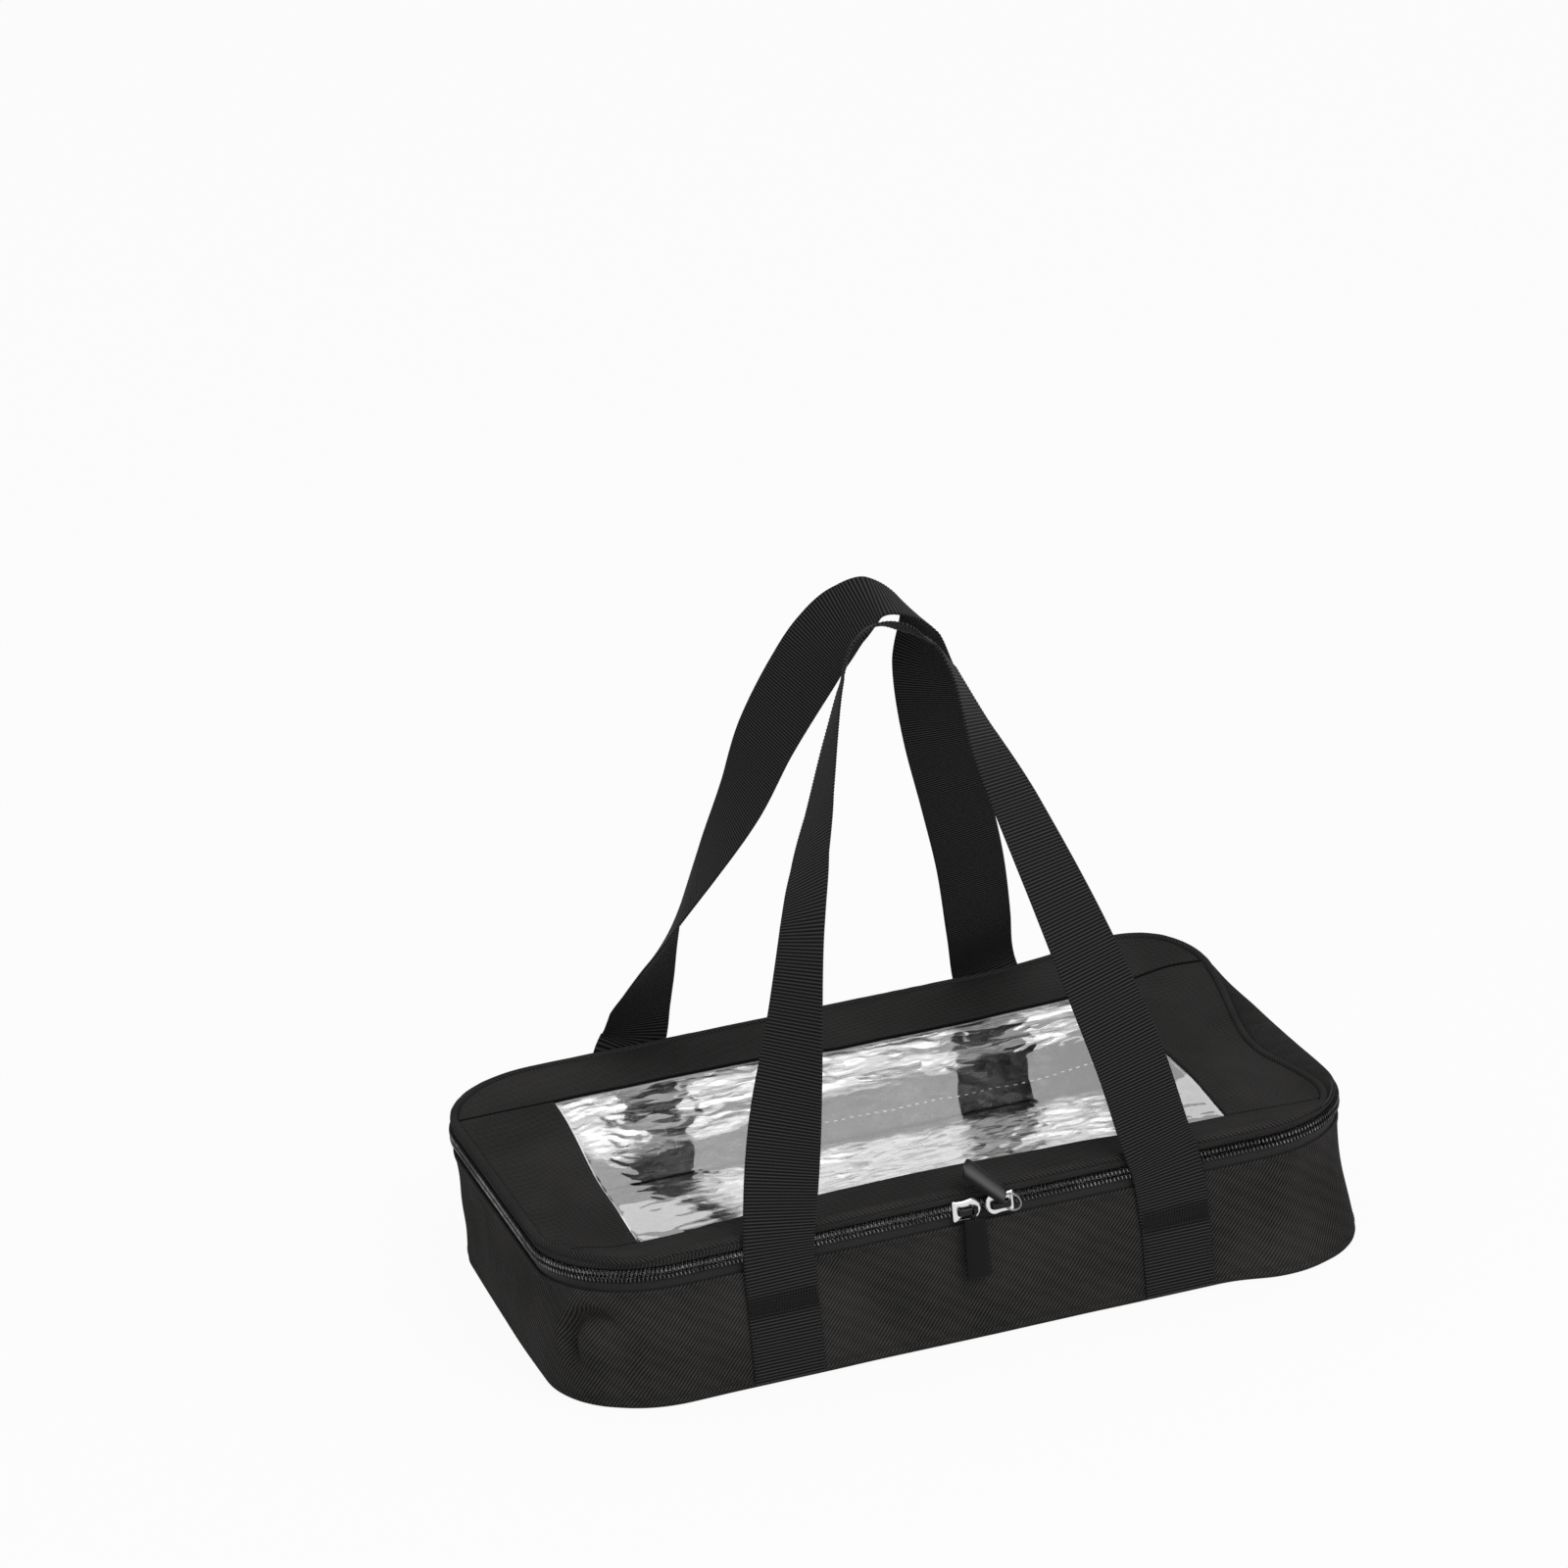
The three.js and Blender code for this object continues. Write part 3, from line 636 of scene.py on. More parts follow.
make_lamp("key_lamp", (0.45, -2.2, 2.2), target=(0, 0, 0.1), width=1.6, height=1.6, power=30)
back_lamp = make_lamp("back_lamp", (0.6, 2.3, 2.0), target=(0, 0, 0.08), width=2.4, height=1.1, power=9)
back_lamp.visible_diffuse = False
bpy.context.scene.view_settings.view_transform = "Standard"
print("lamps:", len(bpy.data.lights))

# %% [markdown]
# ## Tools for surfaces
#
# Each piece is a grid of points: rows along one direction and columns along the other. The helper below
# turns such a grid into a mesh with its map in metres, and names the body that carries it. Cloth gets
# its thickness from a Solidify modifier.

# %% Grid to mesh


def grid_faces(rows, columns, around_rows, around_columns):
    """Four corners of every cell of a grid, which may close on itself either way."""
    i = np.arange(rows if around_rows else rows - 1)
    j = np.arange(columns if around_columns else columns - 1)
    i, j = (k.ravel() for k in np.meshgrid(i, j, indexing="ij"))
    i2, j2 = (i + 1) % rows, (j + 1) % columns
    corners = [i * columns + j, i2 * columns + j, i2 * columns + j2, i * columns + j2]
    cells = [(i, j), (i + 1, j), (i + 1, j + 1), (i, j + 1)]
    return np.stack(corners, -1), cells


def run_length(points, axis):
    """Distance walked along one direction of a grid, averaged over the other, from the first point."""
    steps = np.linalg.norm(np.diff(points, axis=axis), axis=2).mean(axis=1 - axis)
    return np.concatenate([[0.0], np.cumsum(steps)])


def make_piece(name, vertices, faces, corner_map, material, body, replaces=()):
    """A mesh object from points in millimetres, riding on a body."""
    mesh = bpy.data.meshes.new(name)
    mesh.from_pydata((np.asarray(vertices) * MM).tolist(), [], np.asarray(faces).tolist())
    if corner_map is not None:
        layer = mesh.uv_layers.new(name="cloth")
        layer.data.foreach_set("uv", (corner_map * MM).astype(np.float32).ravel())
    mesh.polygons.foreach_set("use_smooth", np.ones(len(mesh.polygons), bool))
    mesh.materials.append(material)
    piece = add_object(name, mesh)
    if body:
        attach(piece, body)
    if replaces:
        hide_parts(*replaces)
    return piece


print("a grid of 3 by 3 points has", len(grid_faces(3, 3, False, False)[0]), "faces")

# %% [markdown]
# A face has a front and a back, and light treats them differently. So each grid is measured against the
# side that should be outside, and turned if it faces the wrong way.

# %% Grid to piece
FAR = 1e9


def quad_normals(points, faces):
    """Half the cross product of each face's diagonals: its area times its direction."""
    a, b, c, d = (points[faces[:, k]] for k in range(4))
    return np.cross(c - a, d - b) / 2, (a + b + c + d) / 4


def looks_wrong(points, faces, outside):
    """True if the faces point away from the side that should be outside. "round" is away from the bag's
    middle, "inner" towards it, "up" and "down" are plain, and "closed" means a shell of positive volume."""
    normals, middles = quad_normals(points, faces)
    core = np.clip(middles, [-straight_x, -straight_y, -FAR], [straight_x, straight_y, FAR])
    reference = {"round": middles - core, "inner": core - middles, "closed": middles}.get(outside)
    if reference is None:
        reference = np.array([[0.0, 0.0, 1.0 if outside == "up" else -1.0]])
    return float((normals * reference).sum()) < 0


TUBE = {"around": (False, True), "outside": "closed"}


def cloth_piece(name, grid, material, body, slot, replaces=(), around=(False, False), outside="round",
                thick=0.0, uv=None):
    """A grid as one sheet, turned so that its front is outside; thick gives it a back that far inside."""
    rows, columns = grid.shape[:2]
    faces, cells = grid_faces(rows, columns, *around)
    if uv is None:
        closed = np.concatenate([grid, grid[:1]], 0) if around[0] else grid
        along = run_length(closed, 0)
        closed = np.concatenate([grid, grid[:, :1]], 1) if around[1] else grid
        uv = np.stack(np.meshgrid(along, run_length(closed, 1), indexing="ij"), -1)
    corner_map = np.stack([uv[i, j] for i, j in cells], 1)
    if looks_wrong(grid.reshape(-1, 3), faces, outside):
        faces, corner_map = faces[:, ::-1], corner_map[:, ::-1]
    piece = make_piece(name, grid.reshape(-1, 3), faces, corner_map, material, body, replaces)
    if thick:
        solid = piece.modifiers.new("thickness", "SOLIDIFY")
        solid.thickness, solid.offset = thick * MM, -1
    return piece


print("outside can be: round, inner, up, down or closed")

# %% [markdown]
# A tube has two open ends. They are drawn in to a point and welded, or filled with one flat face.

# %% Closed ends
NO_LENGTH, TOUCHING = 1e-7, 0.005


def capped(grid):
    """Closes the two open ends of a tube of rows by drawing its last rings in to their middles."""
    first, last = grid[:1].mean(1, keepdims=True), grid[-1:].mean(1, keepdims=True)
    return np.concatenate([np.repeat(first, grid.shape[1], 1), grid, np.repeat(last, grid.shape[1], 1)], 0)


def edit_mesh(piece, change):
    """Opens a piece's mesh, lets a function change it, and writes it back."""
    shape = bmesh.new()
    shape.from_mesh(piece.data)
    change(shape)
    shape.to_mesh(piece.data)
    shape.free()
    return piece


def weld(piece):
    """Merges the points of a piece that lie on each other, so that poles and caps are closed."""

    def merge(shape):
        bmesh.ops.remove_doubles(shape, verts=shape.verts, dist=TOUCHING * MM)
        bmesh.ops.dissolve_degenerate(shape, edges=shape.edges, dist=NO_LENGTH)

    return edit_mesh(piece, merge)


def cap_ends(piece):
    """Fills the open end loops of a tube, so that its mesh is closed."""

    def fill(shape):
        rim = [edge for edge in shape.edges if len(edge.link_faces) == 1]
        bmesh.ops.holes_fill(shape, edges=rim, sides=0)

    return edit_mesh(piece, fill)


print("points nearer than", TOUCHING, "mm are welded")

# %% [markdown]
# Cloth is never quite even. A lattice of random heights, blended smoothly, gives gentle waves whose size
# is chosen in millimetres; the random table has a fixed seed, so every run gives the same folds.

# %% Smooth unevenness and ramps
LATTICE, LATTICE_START = 64, 1000


def smooth(t):
    """The rise 3t^2 - 2t^3, which leaves 0 and reaches 1 without a corner."""
    return t * t * (3 - 2 * t)


def waves(x, y, size, seed):
    """Random heights from -1 to 1 on a square lattice of a size, blended smoothly between its points."""
    table = np.random.RandomState(seed).uniform(-1, 1, (LATTICE, LATTICE))
    gx, gy = (np.asarray(v, float) / size + LATTICE_START for v in (x, y))
    ix, iy = np.floor(gx).astype(int), np.floor(gy).astype(int)
    fx, fy = smooth(gx - ix), smooth(gy - iy)

    def at(dx, dy):
        return table[(ix + dx) % LATTICE, (iy + dy) % LATTICE]

    near = at(0, 0) * (1 - fx) + at(1, 0) * fx
    far = at(0, 1) * (1 - fx) + at(1, 1) * fx
    return near * (1 - fy) + far * fy


def ramp(value, low, high):
    """0 at low, 1 at high, with a smooth rise between them."""
    return smooth(np.clip((np.asarray(value, float) - low) / (high - low), 0, 1))


def plateau(value, rise, fall):
    """A smooth rise to 1 between the two ends of rise, and a smooth fall to 0 between those of fall."""
    return ramp(value, *rise) * (1 - ramp(value, *fall))


def hump(value, middle, half_width, height=1.0):
    """Its height at the middle, falling as a bell curve of that half width."""
    return height * np.exp(-((np.asarray(value, float) - middle) / half_width) ** 2)


def corner_bell(x, y, corner, reach):
    """1 at a corner, falling as a bell curve of that reach in every direction."""
    return np.exp(-((x - corner[0]) ** 2 + (y - corner[1]) ** 2) / reach ** 2)


print("lattice of", LATTICE, "by", LATTICE, "random heights")

# %% [markdown]
# ## The bag's plan
#
# Every ring of the bag follows one rounded rectangle. The function gives, for a distance walked along
# it from the middle of the back edge, the point and the outward direction there.

# %% Rounded plan
straight_x, straight_y = half_length - corner_radius, half_depth - corner_radius
quarter = corner_radius * math.pi / 2
PERIMETER = 4 * (straight_x + straight_y + quarter)


def plan(s):
    """Walks back edge, left corner, left end, front and right end in turn: lines and quarter circles."""
    s = np.mod(np.asarray(s, float), PERIMETER)
    point, out = np.zeros(s.shape + (2,)), np.zeros(s.shape + (2,))
    start = 0.0
    a, b, r = straight_x, straight_y, corner_radius
    walk = [("line", (0, half_depth), 90, a), ("arc", (-a, b), 90, quarter),
            ("line", (-half_length, b), 180, 2 * b), ("arc", (-a, -b), 180, quarter),
            ("line", (-a, -half_depth), 270, 2 * a), ("arc", (a, -b), 270, quarter),
            ("line", (half_length, -b), 0, 2 * b), ("arc", (a, b), 0, quarter),
            ("line", (a, half_depth), 90, a)]
    for kind, place, facing, length in walk:
        here = (s >= start) & (s <= start + length)
        run = s[here] - start
        if kind == "line":
            angle = np.full(run.shape, math.radians(facing))
            point[here, 0] = place[0] - run * np.sin(angle)
            point[here, 1] = place[1] + run * np.cos(angle)
        else:
            angle = math.radians(facing) + run / r
            point[here, 0] = place[0] + r * np.cos(angle)
            point[here, 1] = place[1] + r * np.sin(angle)
        out[here, 0], out[here, 1] = np.cos(angle), np.sin(angle)
        start += length
    return point, out


print("perimeter", round(PERIMETER), "mm")

# %% [markdown]
# ## How the walls sag
#
# The left front corner is pinched: a hook-shaped groove round the upper left of a shallow bump, with a
# faint line to its right. It could be sculpted, but as a formula it can be moved, turned and deepened.

# %% The pinched corner
DENT_PLACE, DENT_SQUEEZE = (-202.8, -121.8, 36.0), 1.12
HOOK_TURN, HOOK_FADE = 2.4, (0.9, 1.9)
GROOVE, BUMP, GROOVE_RIM = (17.0, 4.4, -6.2), (3, 8.5, 4.6), (25, 7, 2.5)
TAIL, TAIL_HEIGHTS, TAIL_SLANT = (21, 4.5, -2.0), (-8, 18), 0.35
FLAT, FLAT_HEIGHTS = ((14, 30), (55, 90)), (32, 22, 2.5)


def dent(x, y, z):
    """Bells in the distance from the dent's middle make groove, bump and rim; the hook is the range of
    directions where groove and rim are drawn. Side runs along the corner, to the right."""
    dx, dy, dz = x - DENT_PLACE[0], y - DENT_PLACE[1], z - DENT_PLACE[2]
    side = (dx - dy) / math.sqrt(2)
    reach = np.hypot(side * DENT_SQUEEZE, dz)
    turn = np.arctan2(dz, side)
    hook = 1 - ramp(np.abs((turn - HOOK_TURN + math.pi) % TURN - math.pi), *HOOK_FADE)
    pinch = (hump(reach, *GROOVE) + hump(reach, *GROOVE_RIM)) * hook + hump(reach, *BUMP)
    tail = hump(side - TAIL_SLANT * dz, *TAIL) * hump(dz, *TAIL_HEIGHTS)
    flat = plateau(side, *FLAT) * hump(z, *FLAT_HEIGHTS)
    return (pinch + tail + flat) * ((x < 0) & (y < 0))


print("dent", -GROOVE[2], "mm deep at", DENT_PLACE)

# %% [markdown]
# The rest of the wall is soft too: the right end is drawn in under the zip and bulges at its foot, the
# left end has a belly, and all of it waves slightly. The webbing stiffens the cloth beneath it.

# %% Wall shape
TUCK, DRAW_IN, CORNER_BULGE, CORNER_LIFT = 0.5, (46, 22, -1.0), 9.0, 9.0
LEFT_FRONT, RIGHT_FRONT, RIGHT_BACK = ((-205, -115), 78.0), ((192, -130), 56.0), ((198, 130), 50.0)
RIGHT_END, LEFT_END, BELLY_HEIGHTS, BELLY_DEPTHS = (165, 212), (175, 215), (24, 21, 6.0), (-25, 85)
HOLLOW, LARGE_WAVES, SMALL_WAVES, SMALL_STRETCH = -1.3, (70, 3), (27, 8), 1.4
FOLD_PLACE, FOLD_HEIGHTS, FOLD_SLANT, FOLD_FRONT = (186, 7, -1.6), (30, 26), 0.25, -60
STRAP_MARGINS, STRAP_DEPTH, RIM_FADE = (2, 34), 12, (-4, 3)


def strap_mask(x, y):
    """1 under the four sewn straps and 0 away from them."""
    edges = (web_width / 2 + margin for margin in STRAP_MARGINS)
    return (1 - ramp(np.abs(np.abs(x) - strap_x), *edges)) * (np.abs(y) > half_depth - STRAP_DEPTH)


def wall_out(x, y, z):
    """How far the wall stands out from its plan, in millimetres; less than zero is drawn in."""
    height = np.clip(np.asarray(z, float) / wall_top, 0, 1)
    tuck = TUCK * (1 - height) ** 1.25 * corner_bell(x, y, *LEFT_FRONT)
    drawn = hump(z, *DRAW_IN) * ramp(x, *RIGHT_END)
    corner = CORNER_BULGE * corner_bell(x, y, *RIGHT_FRONT) * (1 - height) ** 0.8
    belly = HOLLOW * np.sin(math.pi * height)
    belly = belly + hump(z, *BELLY_HEIGHTS) * ramp(-x, *LEFT_END) * hump(y, *BELLY_DEPTHS)
    around = x + 0.6 * y
    uneven = 1.3 * waves(around, z, *LARGE_WAVES) + 0.8 * waves(around, z * SMALL_STRETCH, *SMALL_WAVES)
    uneven = uneven * np.sin(math.pi * np.clip(height, 0.04, 0.97)) ** 0.6
    fold = hump(x - FOLD_SLANT * z, *FOLD_PLACE) * hump(z, *FOLD_HEIGHTS) * (y < FOLD_FRONT)
    loose = (tuck + drawn + corner + belly + uneven + fold + dent(x, y, z)) * (1 - strap_mask(x, y))
    return loose * (1 - ramp(z, wall_top + RIM_FADE[0], wall_top + RIM_FADE[1]))


def corner_lift(x, y, z):
    """The back right corner hangs higher: a bell round the corner that grows from the base to the zip."""
    return CORNER_LIFT * corner_bell(x, y, *RIGHT_BACK) * np.clip(np.asarray(z, float) / zip_z, 0, 1)


middle_out = float(wall_out(0.0, -half_depth, wall_top / 2))
print("front wall, half way up its middle:", round(middle_out, 2), "mm out")

# %% [markdown]
# One function carries any ring round the plan with that sag, and a second one carries a whole profile.
# The steps are about 3 mm long, and 1.1 mm round the pinched corner.

# %% Rings round the bag


def around_plan(s, z, inset, follow=1.0):
    """Points at distances s along the plan and heights z, moved in by an inset and with the wall's sag."""
    point, out = plan(s)
    sag = follow * wall_out(point[..., 0], point[..., 1], z)
    xy = point + out * (sag - inset)[..., None]
    height = np.broadcast_to(z, sag.shape) + corner_lift(point[..., 0], point[..., 1], z)
    return np.concatenate([xy, height[..., None]], -1)


CORNER_START, CORNER_END, FINE_STEP = 438, 496, 1.1
AROUND = np.arange(0, PERIMETER, PERIMETER / 448)
coarse = AROUND[(AROUND < CORNER_START - 0.5) | (AROUND > CORNER_END)]
WALL_AROUND = np.sort(np.concatenate([coarse, np.arange(CORNER_START, CORNER_END, FINE_STEP)]))


def ring_surface(profile, follow=1.0, s=AROUND):
    """Carries a profile of (inset, height) pairs round the plan: one row per pair, one column per step."""
    inset, z = (np.array(c, float)[:, None] for c in zip(*profile))
    s = np.asarray(s)[None, :]
    return around_plan(np.broadcast_to(s, (len(profile), s.shape[1])), z + 0 * s, inset + 0 * s, follow)


print("steps round the wall:", len(WALL_AROUND))

# %% [markdown]
# ## Tray
#
# The outer wall is one sheet: it folds over at the top where the zip tape is sewn in, runs down the
# side and rolls under into the base seam. The base is drawn in from that edge towards the bag's long
# middle line, so its grid has no corner to pinch.

# %% Outer wall and base
HEM_TOP, CLOTH, FOIL = wall_top + 0.7, 0.6, 0.3
BASE_INSET, BASE_LEVEL, BASE_CLOTH, MIDDLE_SHARE = 5.0, 0.1, 0.8, 0.97


def wall_profile():
    """Inset and height from inside the top fold, over it, down the wall and under to the base seam."""
    top = [(1.4, wall_top - 3.0), (1.3, HEM_TOP - 0.8), (0.9, HEM_TOP - 0.2), (0.3, HEM_TOP),
           (-0.3, HEM_TOP - 0.4), (-0.45, HEM_TOP - 1.2), (-0.4, HEM_TOP - 2.2), (-0.1, HEM_TOP - 3.0),
           (0.0, HEM_TOP - 3.8)]
    side = [(0.0, z) for z in np.linspace(wall_top - 5, 8.0, 40)]
    seam = [(0.1, 6.6), (0.75, 5.6), (0.35, 4.6), (0.5, 3.2), (1.1, 1.9), (2.2, 0.9), (3.6, 0.35),
            (6.0, 0.12)]
    return top + side + seam


wall = cloth_piece("tray_wall_cloth", ring_surface(wall_profile(), s=WALL_AROUND), body_cloth, "tray",
                   "body_cloth", ("wall_fabric",), around=(False, True), thick=CLOTH)


def fill_to_middle(edge, rows, height):
    """Grid from a closed edge to the bag's long middle line; height(x, y) gives each point's level."""
    middle = np.stack([np.clip(edge[:, 0], -straight_x, straight_x) * MIDDLE_SHARE, 0 * edge[:, 1]], -1)
    share = np.linspace(0, 1, rows)[:, None, None]
    xy = edge[None, :, :2] * (1 - share) + middle[None] * share
    return np.concatenate([xy, height(xy[..., 0], xy[..., 1])[..., None]], -1)


def flat_map(grid, closed_columns=True):
    """A map that reads straight down: x and y of each point."""
    xy = grid[..., :2]
    return np.concatenate([xy, xy[:, :1]], 1) if closed_columns else xy


def crumple(x, y):
    """Creases of foil: waves of three sizes; one half less their size turns the two larger into ridges."""
    ridges = 0.5 - np.abs(waves(x * 0.45, y, 26, 21))
    fine = 0.5 - np.abs(waves(x * 0.7, y, 9, 22))
    return ridges + 0.45 * fine + 0.15 * waves(x, y, 4, 23)


def tray_plate(name, inset, z, material, slot, node, thick, outside, rough=0.0, rows=36):
    """A plate across the tray, whose edge follows the sagging wall at its height."""
    edge = ring_surface([(inset, z)])[0]
    grid = fill_to_middle(edge, rows, lambda x, y: z + rough * crumple(x, y))
    piece = cloth_piece(name, grid, material, "tray", slot, (node,), around=(False, True),
                        outside=outside, thick=thick, uv=flat_map(grid))
    return weld(piece)


base = tray_plate("tray_base_cloth", BASE_INSET, BASE_LEVEL, body_cloth, "body_cloth", "base_panel",
                  BASE_CLOTH, "down")
print("wall and base:", len(wall.data.vertices) + len(base.data.vertices), "points")

# %% [markdown]
# Inside the wall come a layer of foam and the silver lining, and a cloth binding wraps their top edge.
# Each follows the same sag as the outer cloth, at nearly the same steps, so nothing pokes through where
# the wall is tucked in.

# %% Foam, lining and rim binding
FOAM_FOOT, FOAM_TOP, FOAM_OUTSIDE, FOAM_INSIDE = 6.2, 59.4, 1.9, 5.1
PAD_INSET, PAD_LEVEL, PAD_THICK = 3.2, 1.6, 3.6
LINING_INSET, LINING_LEVEL, LINING_FOOT, LINING_TOP = 6.3, 6.2, 6.8, 62.0
RIM_PROFILE = [(2.9, 60.4), (2.9, 64.6), (3.3, 65.7), (4.2, 66.3), (5.4, 66.3), (6.5, 65.8), (7.1, 64.8),
               (7.2, 62.0), (6.9, 60.2), (6.0, 60.0)]


def shell(name, profile, material, slot, nodes, body="tray", uv=None):
    """A closed profile carried all round the plan: a ring with no open edge."""
    grid = ring_surface(profile, s=WALL_AROUND)
    return cloth_piece(name, grid, material, body, slot, nodes, (True, True), "closed", uv=uv)


foam_steps = np.linspace(FOAM_FOOT, FOAM_TOP, 54)
foam_profile = [(FOAM_OUTSIDE, z) for z in foam_steps] + [(FOAM_INSIDE, z) for z in foam_steps[::-1]]
shell("wall_foam_pad", foam_profile, foam, "foam", ("wall_foam",))
tray_plate("base_foam_pad", PAD_INSET, PAD_LEVEL, foam, "foam", "base_foam", PAD_THICK, "down", rows=16)


def creased_wall():
    """Lining wall: inset 6.1 mm plus creases, from the base lining's edge up under the rim binding."""
    heights = np.concatenate([[5.9], np.linspace(LINING_FOOT, LINING_TOP, 34)])
    s = np.arange(0, PERIMETER, PERIMETER / 640)
    s, z = np.meshgrid(s, heights)
    press = np.sin(math.pi * np.clip((z - 6) / 56, 0, 1)) ** 0.5
    return around_plan(s, z, lining_inset - 0.2 + (crumple(s, z * 1.3) + 0.4) * 0.9 * press)


cloth_piece("wall_lining_foil", creased_wall(), foil, "tray", "foil", ("wall_lining",), (False, True),
            "inner", thick=FOIL)
tray_plate("base_lining_foil", LINING_INSET, LINING_LEVEL, foil, "foil", "base_lining", FOIL, "up",
           rough=0.7, rows=70)
shell("rim_binding_cloth", RIM_PROFILE, body_cloth, "body_cloth", ("rim_binding",))
print("linings and rim binding done")

# %% [markdown]
# ## How the lid sags
#
# The lid is a flat sheet held by its piping. The window hangs a few millimetres between its seams, the
# front strip sags at both ends and stands up a little between them, and the right end has been pushed in
# and down in its middle. Every part of the lid passes through this one function, so neighbours stay
# together.

# %% Lid shape
WINDOW_SAG, EDGE_HOLD = 4.0, (4, 26)
PULL_IN, DIP = (-22, 75, 16.0), (-20, 62, 7.0)
SPREAD, SPREAD_DEPTHS, SPREAD_PLACES = 9.0, (-85, 55), ((90, 162), (168, 208))
CORNER_SAG, LEFT_PLACES, RIGHT_PLACES = 4.0, ((70, 160), (172, 208)), (60, 135)
MIDDLE_RISE, FRONT_DEPTHS = (-20, 60, 1.5), ((50, 108), (112, 134))
BACK_SAG, BACK_DEPTHS, BACK_PLACES = 3.0, ((30, 87), (92, 133)), ((-45, 5), (160, 205))
LID_WAVES, LID_RIPPLES = (62, 41), (24, 42)


def lid_shape(x, y, z):
    """Moves flat lid points: in by a hump along the right end, down by a hump, and a sagging window."""
    x, y, z = np.broadcast_arrays(np.asarray(x, float), np.asarray(y, float), np.asarray(z, float))
    pull = hump(y, *PULL_IN) * ramp(x, window_right - 2, half_length - 5)
    dip = hump(y, *DIP) * ramp(x, window_right, half_length - 12)
    across = (x - (window_left + window_right) / 2) / ((window_right - window_left) / 2)
    deep = (y - (window_front + window_back) / 2) / ((window_back - window_front) / 2)
    sag = WINDOW_SAG * np.clip(1 - across ** 4, 0, 1) * np.clip(1 - deep ** 2, 0, 1)
    spread = SPREAD * ramp(-y, *SPREAD_DEPTHS) * plateau(-x, *SPREAD_PLACES)
    ends = np.where(x < 0, plateau(-x, *LEFT_PLACES), ramp(x, *RIGHT_PLACES))
    drop = plateau(-y, *FRONT_DEPTHS) * (CORNER_SAG * ends - hump(x, *MIDDLE_RISE))
    drop = drop + BACK_SAG * plateau(y, *BACK_DEPTHS) * plateau(x, *BACK_PLACES)
    edge = ramp(half_length - np.abs(x), *EDGE_HOLD) * ramp(half_depth - np.abs(y), *EDGE_HOLD)
    uneven = (0.55 * waves(x, y, *LID_WAVES) + 0.25 * waves(x, y, *LID_RIPPLES)) * edge
    z = z - dip - sag - drop + uneven + corner_lift(x, y, zip_z)
    return np.stack([x - pull - spread, y, z], -1)


print("window sags", round(float(lid_top - lid_shape(0, 0, lid_top)[2]), 1), "mm in its middle")

# %% [markdown]
# Cloth strips reach the piping on a rounded outline, so they need to know how wide the plan is at each
# depth, and their rows have to crowd where the outline turns.

# %% Rows that follow the corners


def half_width(y, inset):
    """Half the width of the plan, drawn in by an inset, at a depth y."""
    radius = corner_radius - inset
    beyond = np.clip(np.abs(y) - straight_y, 0, radius)
    return straight_x + np.sqrt(radius ** 2 - beyond ** 2)


def depth_steps(start, end, inset, count):
    """Depths from start to end that crowd near the outer edge, in step with the corner's arc."""
    radius = corner_radius - inset

    def to_turn(y):
        return np.sign(y) * (np.arcsin(np.clip((abs(y) - straight_y) / radius, 0, 1))
                             + min(abs(y), straight_y) / radius)

    turns = np.linspace(to_turn(start), to_turn(end), count)
    flat = straight_y / radius
    outer = np.sign(turns) * (straight_y + radius * np.sin(np.clip(np.abs(turns) - flat, 0, math.pi / 2)))
    return np.where(np.abs(turns) <= flat, turns * radius, outer)


print("half width at the front edge:", round(float(half_width(half_depth, 0)), 1), "mm")

# %% [markdown]
# The cloth frame has a strip in front and one behind, which run to the piping at both ends, and two side
# panels sewn under them. Where cloth meets the window its edge is folded under: a few rows close together
# round the fold off and drop to the film.

# %% Lid strips and side panels
PANEL_INSET, EDGE_TUCK, TUCK_DROP, LID_CLOTH = 4.7, 3.7, 0.8, 0.5
FOLD = np.array([(0.0, 1.35), (0.02, 0.8), (0.2, 0.3), (0.55, 0.08), (1.1, 0.0)])
UNDER, UNDER_OVERLAP, UNDER_START = 1.05, 1.6, 0.6


def lid_panel(name, grid_x, ys, drop, nodes):
    """The flat panel carried through the lid's shape, with a map that reads it straight down."""
    y = ys[:, None] + 0 * grid_x
    return cloth_piece(name, lid_shape(grid_x, y, lid_top - drop), lid_cloth, "lid", "lid_cloth", nodes,
                       outside="up", thick=LID_CLOTH, uv=np.stack([grid_x, y], -1))


def lid_strip(name, side, inner, nodes):
    """Rows run from the folded window edge to the piping, columns from one end of the bag to the other."""
    steps = depth_steps(inner, side * (half_depth - PANEL_INSET), PANEL_INSET, 34)[2:]
    ys = np.concatenate([inner + side * FOLD[:, 0], steps, [side * (half_depth - EDGE_TUCK)]])
    drop = np.concatenate([FOLD[:, 1], 0 * steps, [TUCK_DROP]])[:, None]
    inset = np.concatenate([np.full(len(ys) - 1, PANEL_INSET), [EDGE_TUCK]])
    width = half_width(ys, inset)[:, None]
    x = np.linspace(-1, 1, 230)[None, :] * (width + (PANEL_INSET - EDGE_TUCK))
    tuck = TUCK_DROP * ramp(np.abs(x), width - 0.5, width + 1.0)
    return lid_panel(name, x, ys, drop + tuck, nodes)


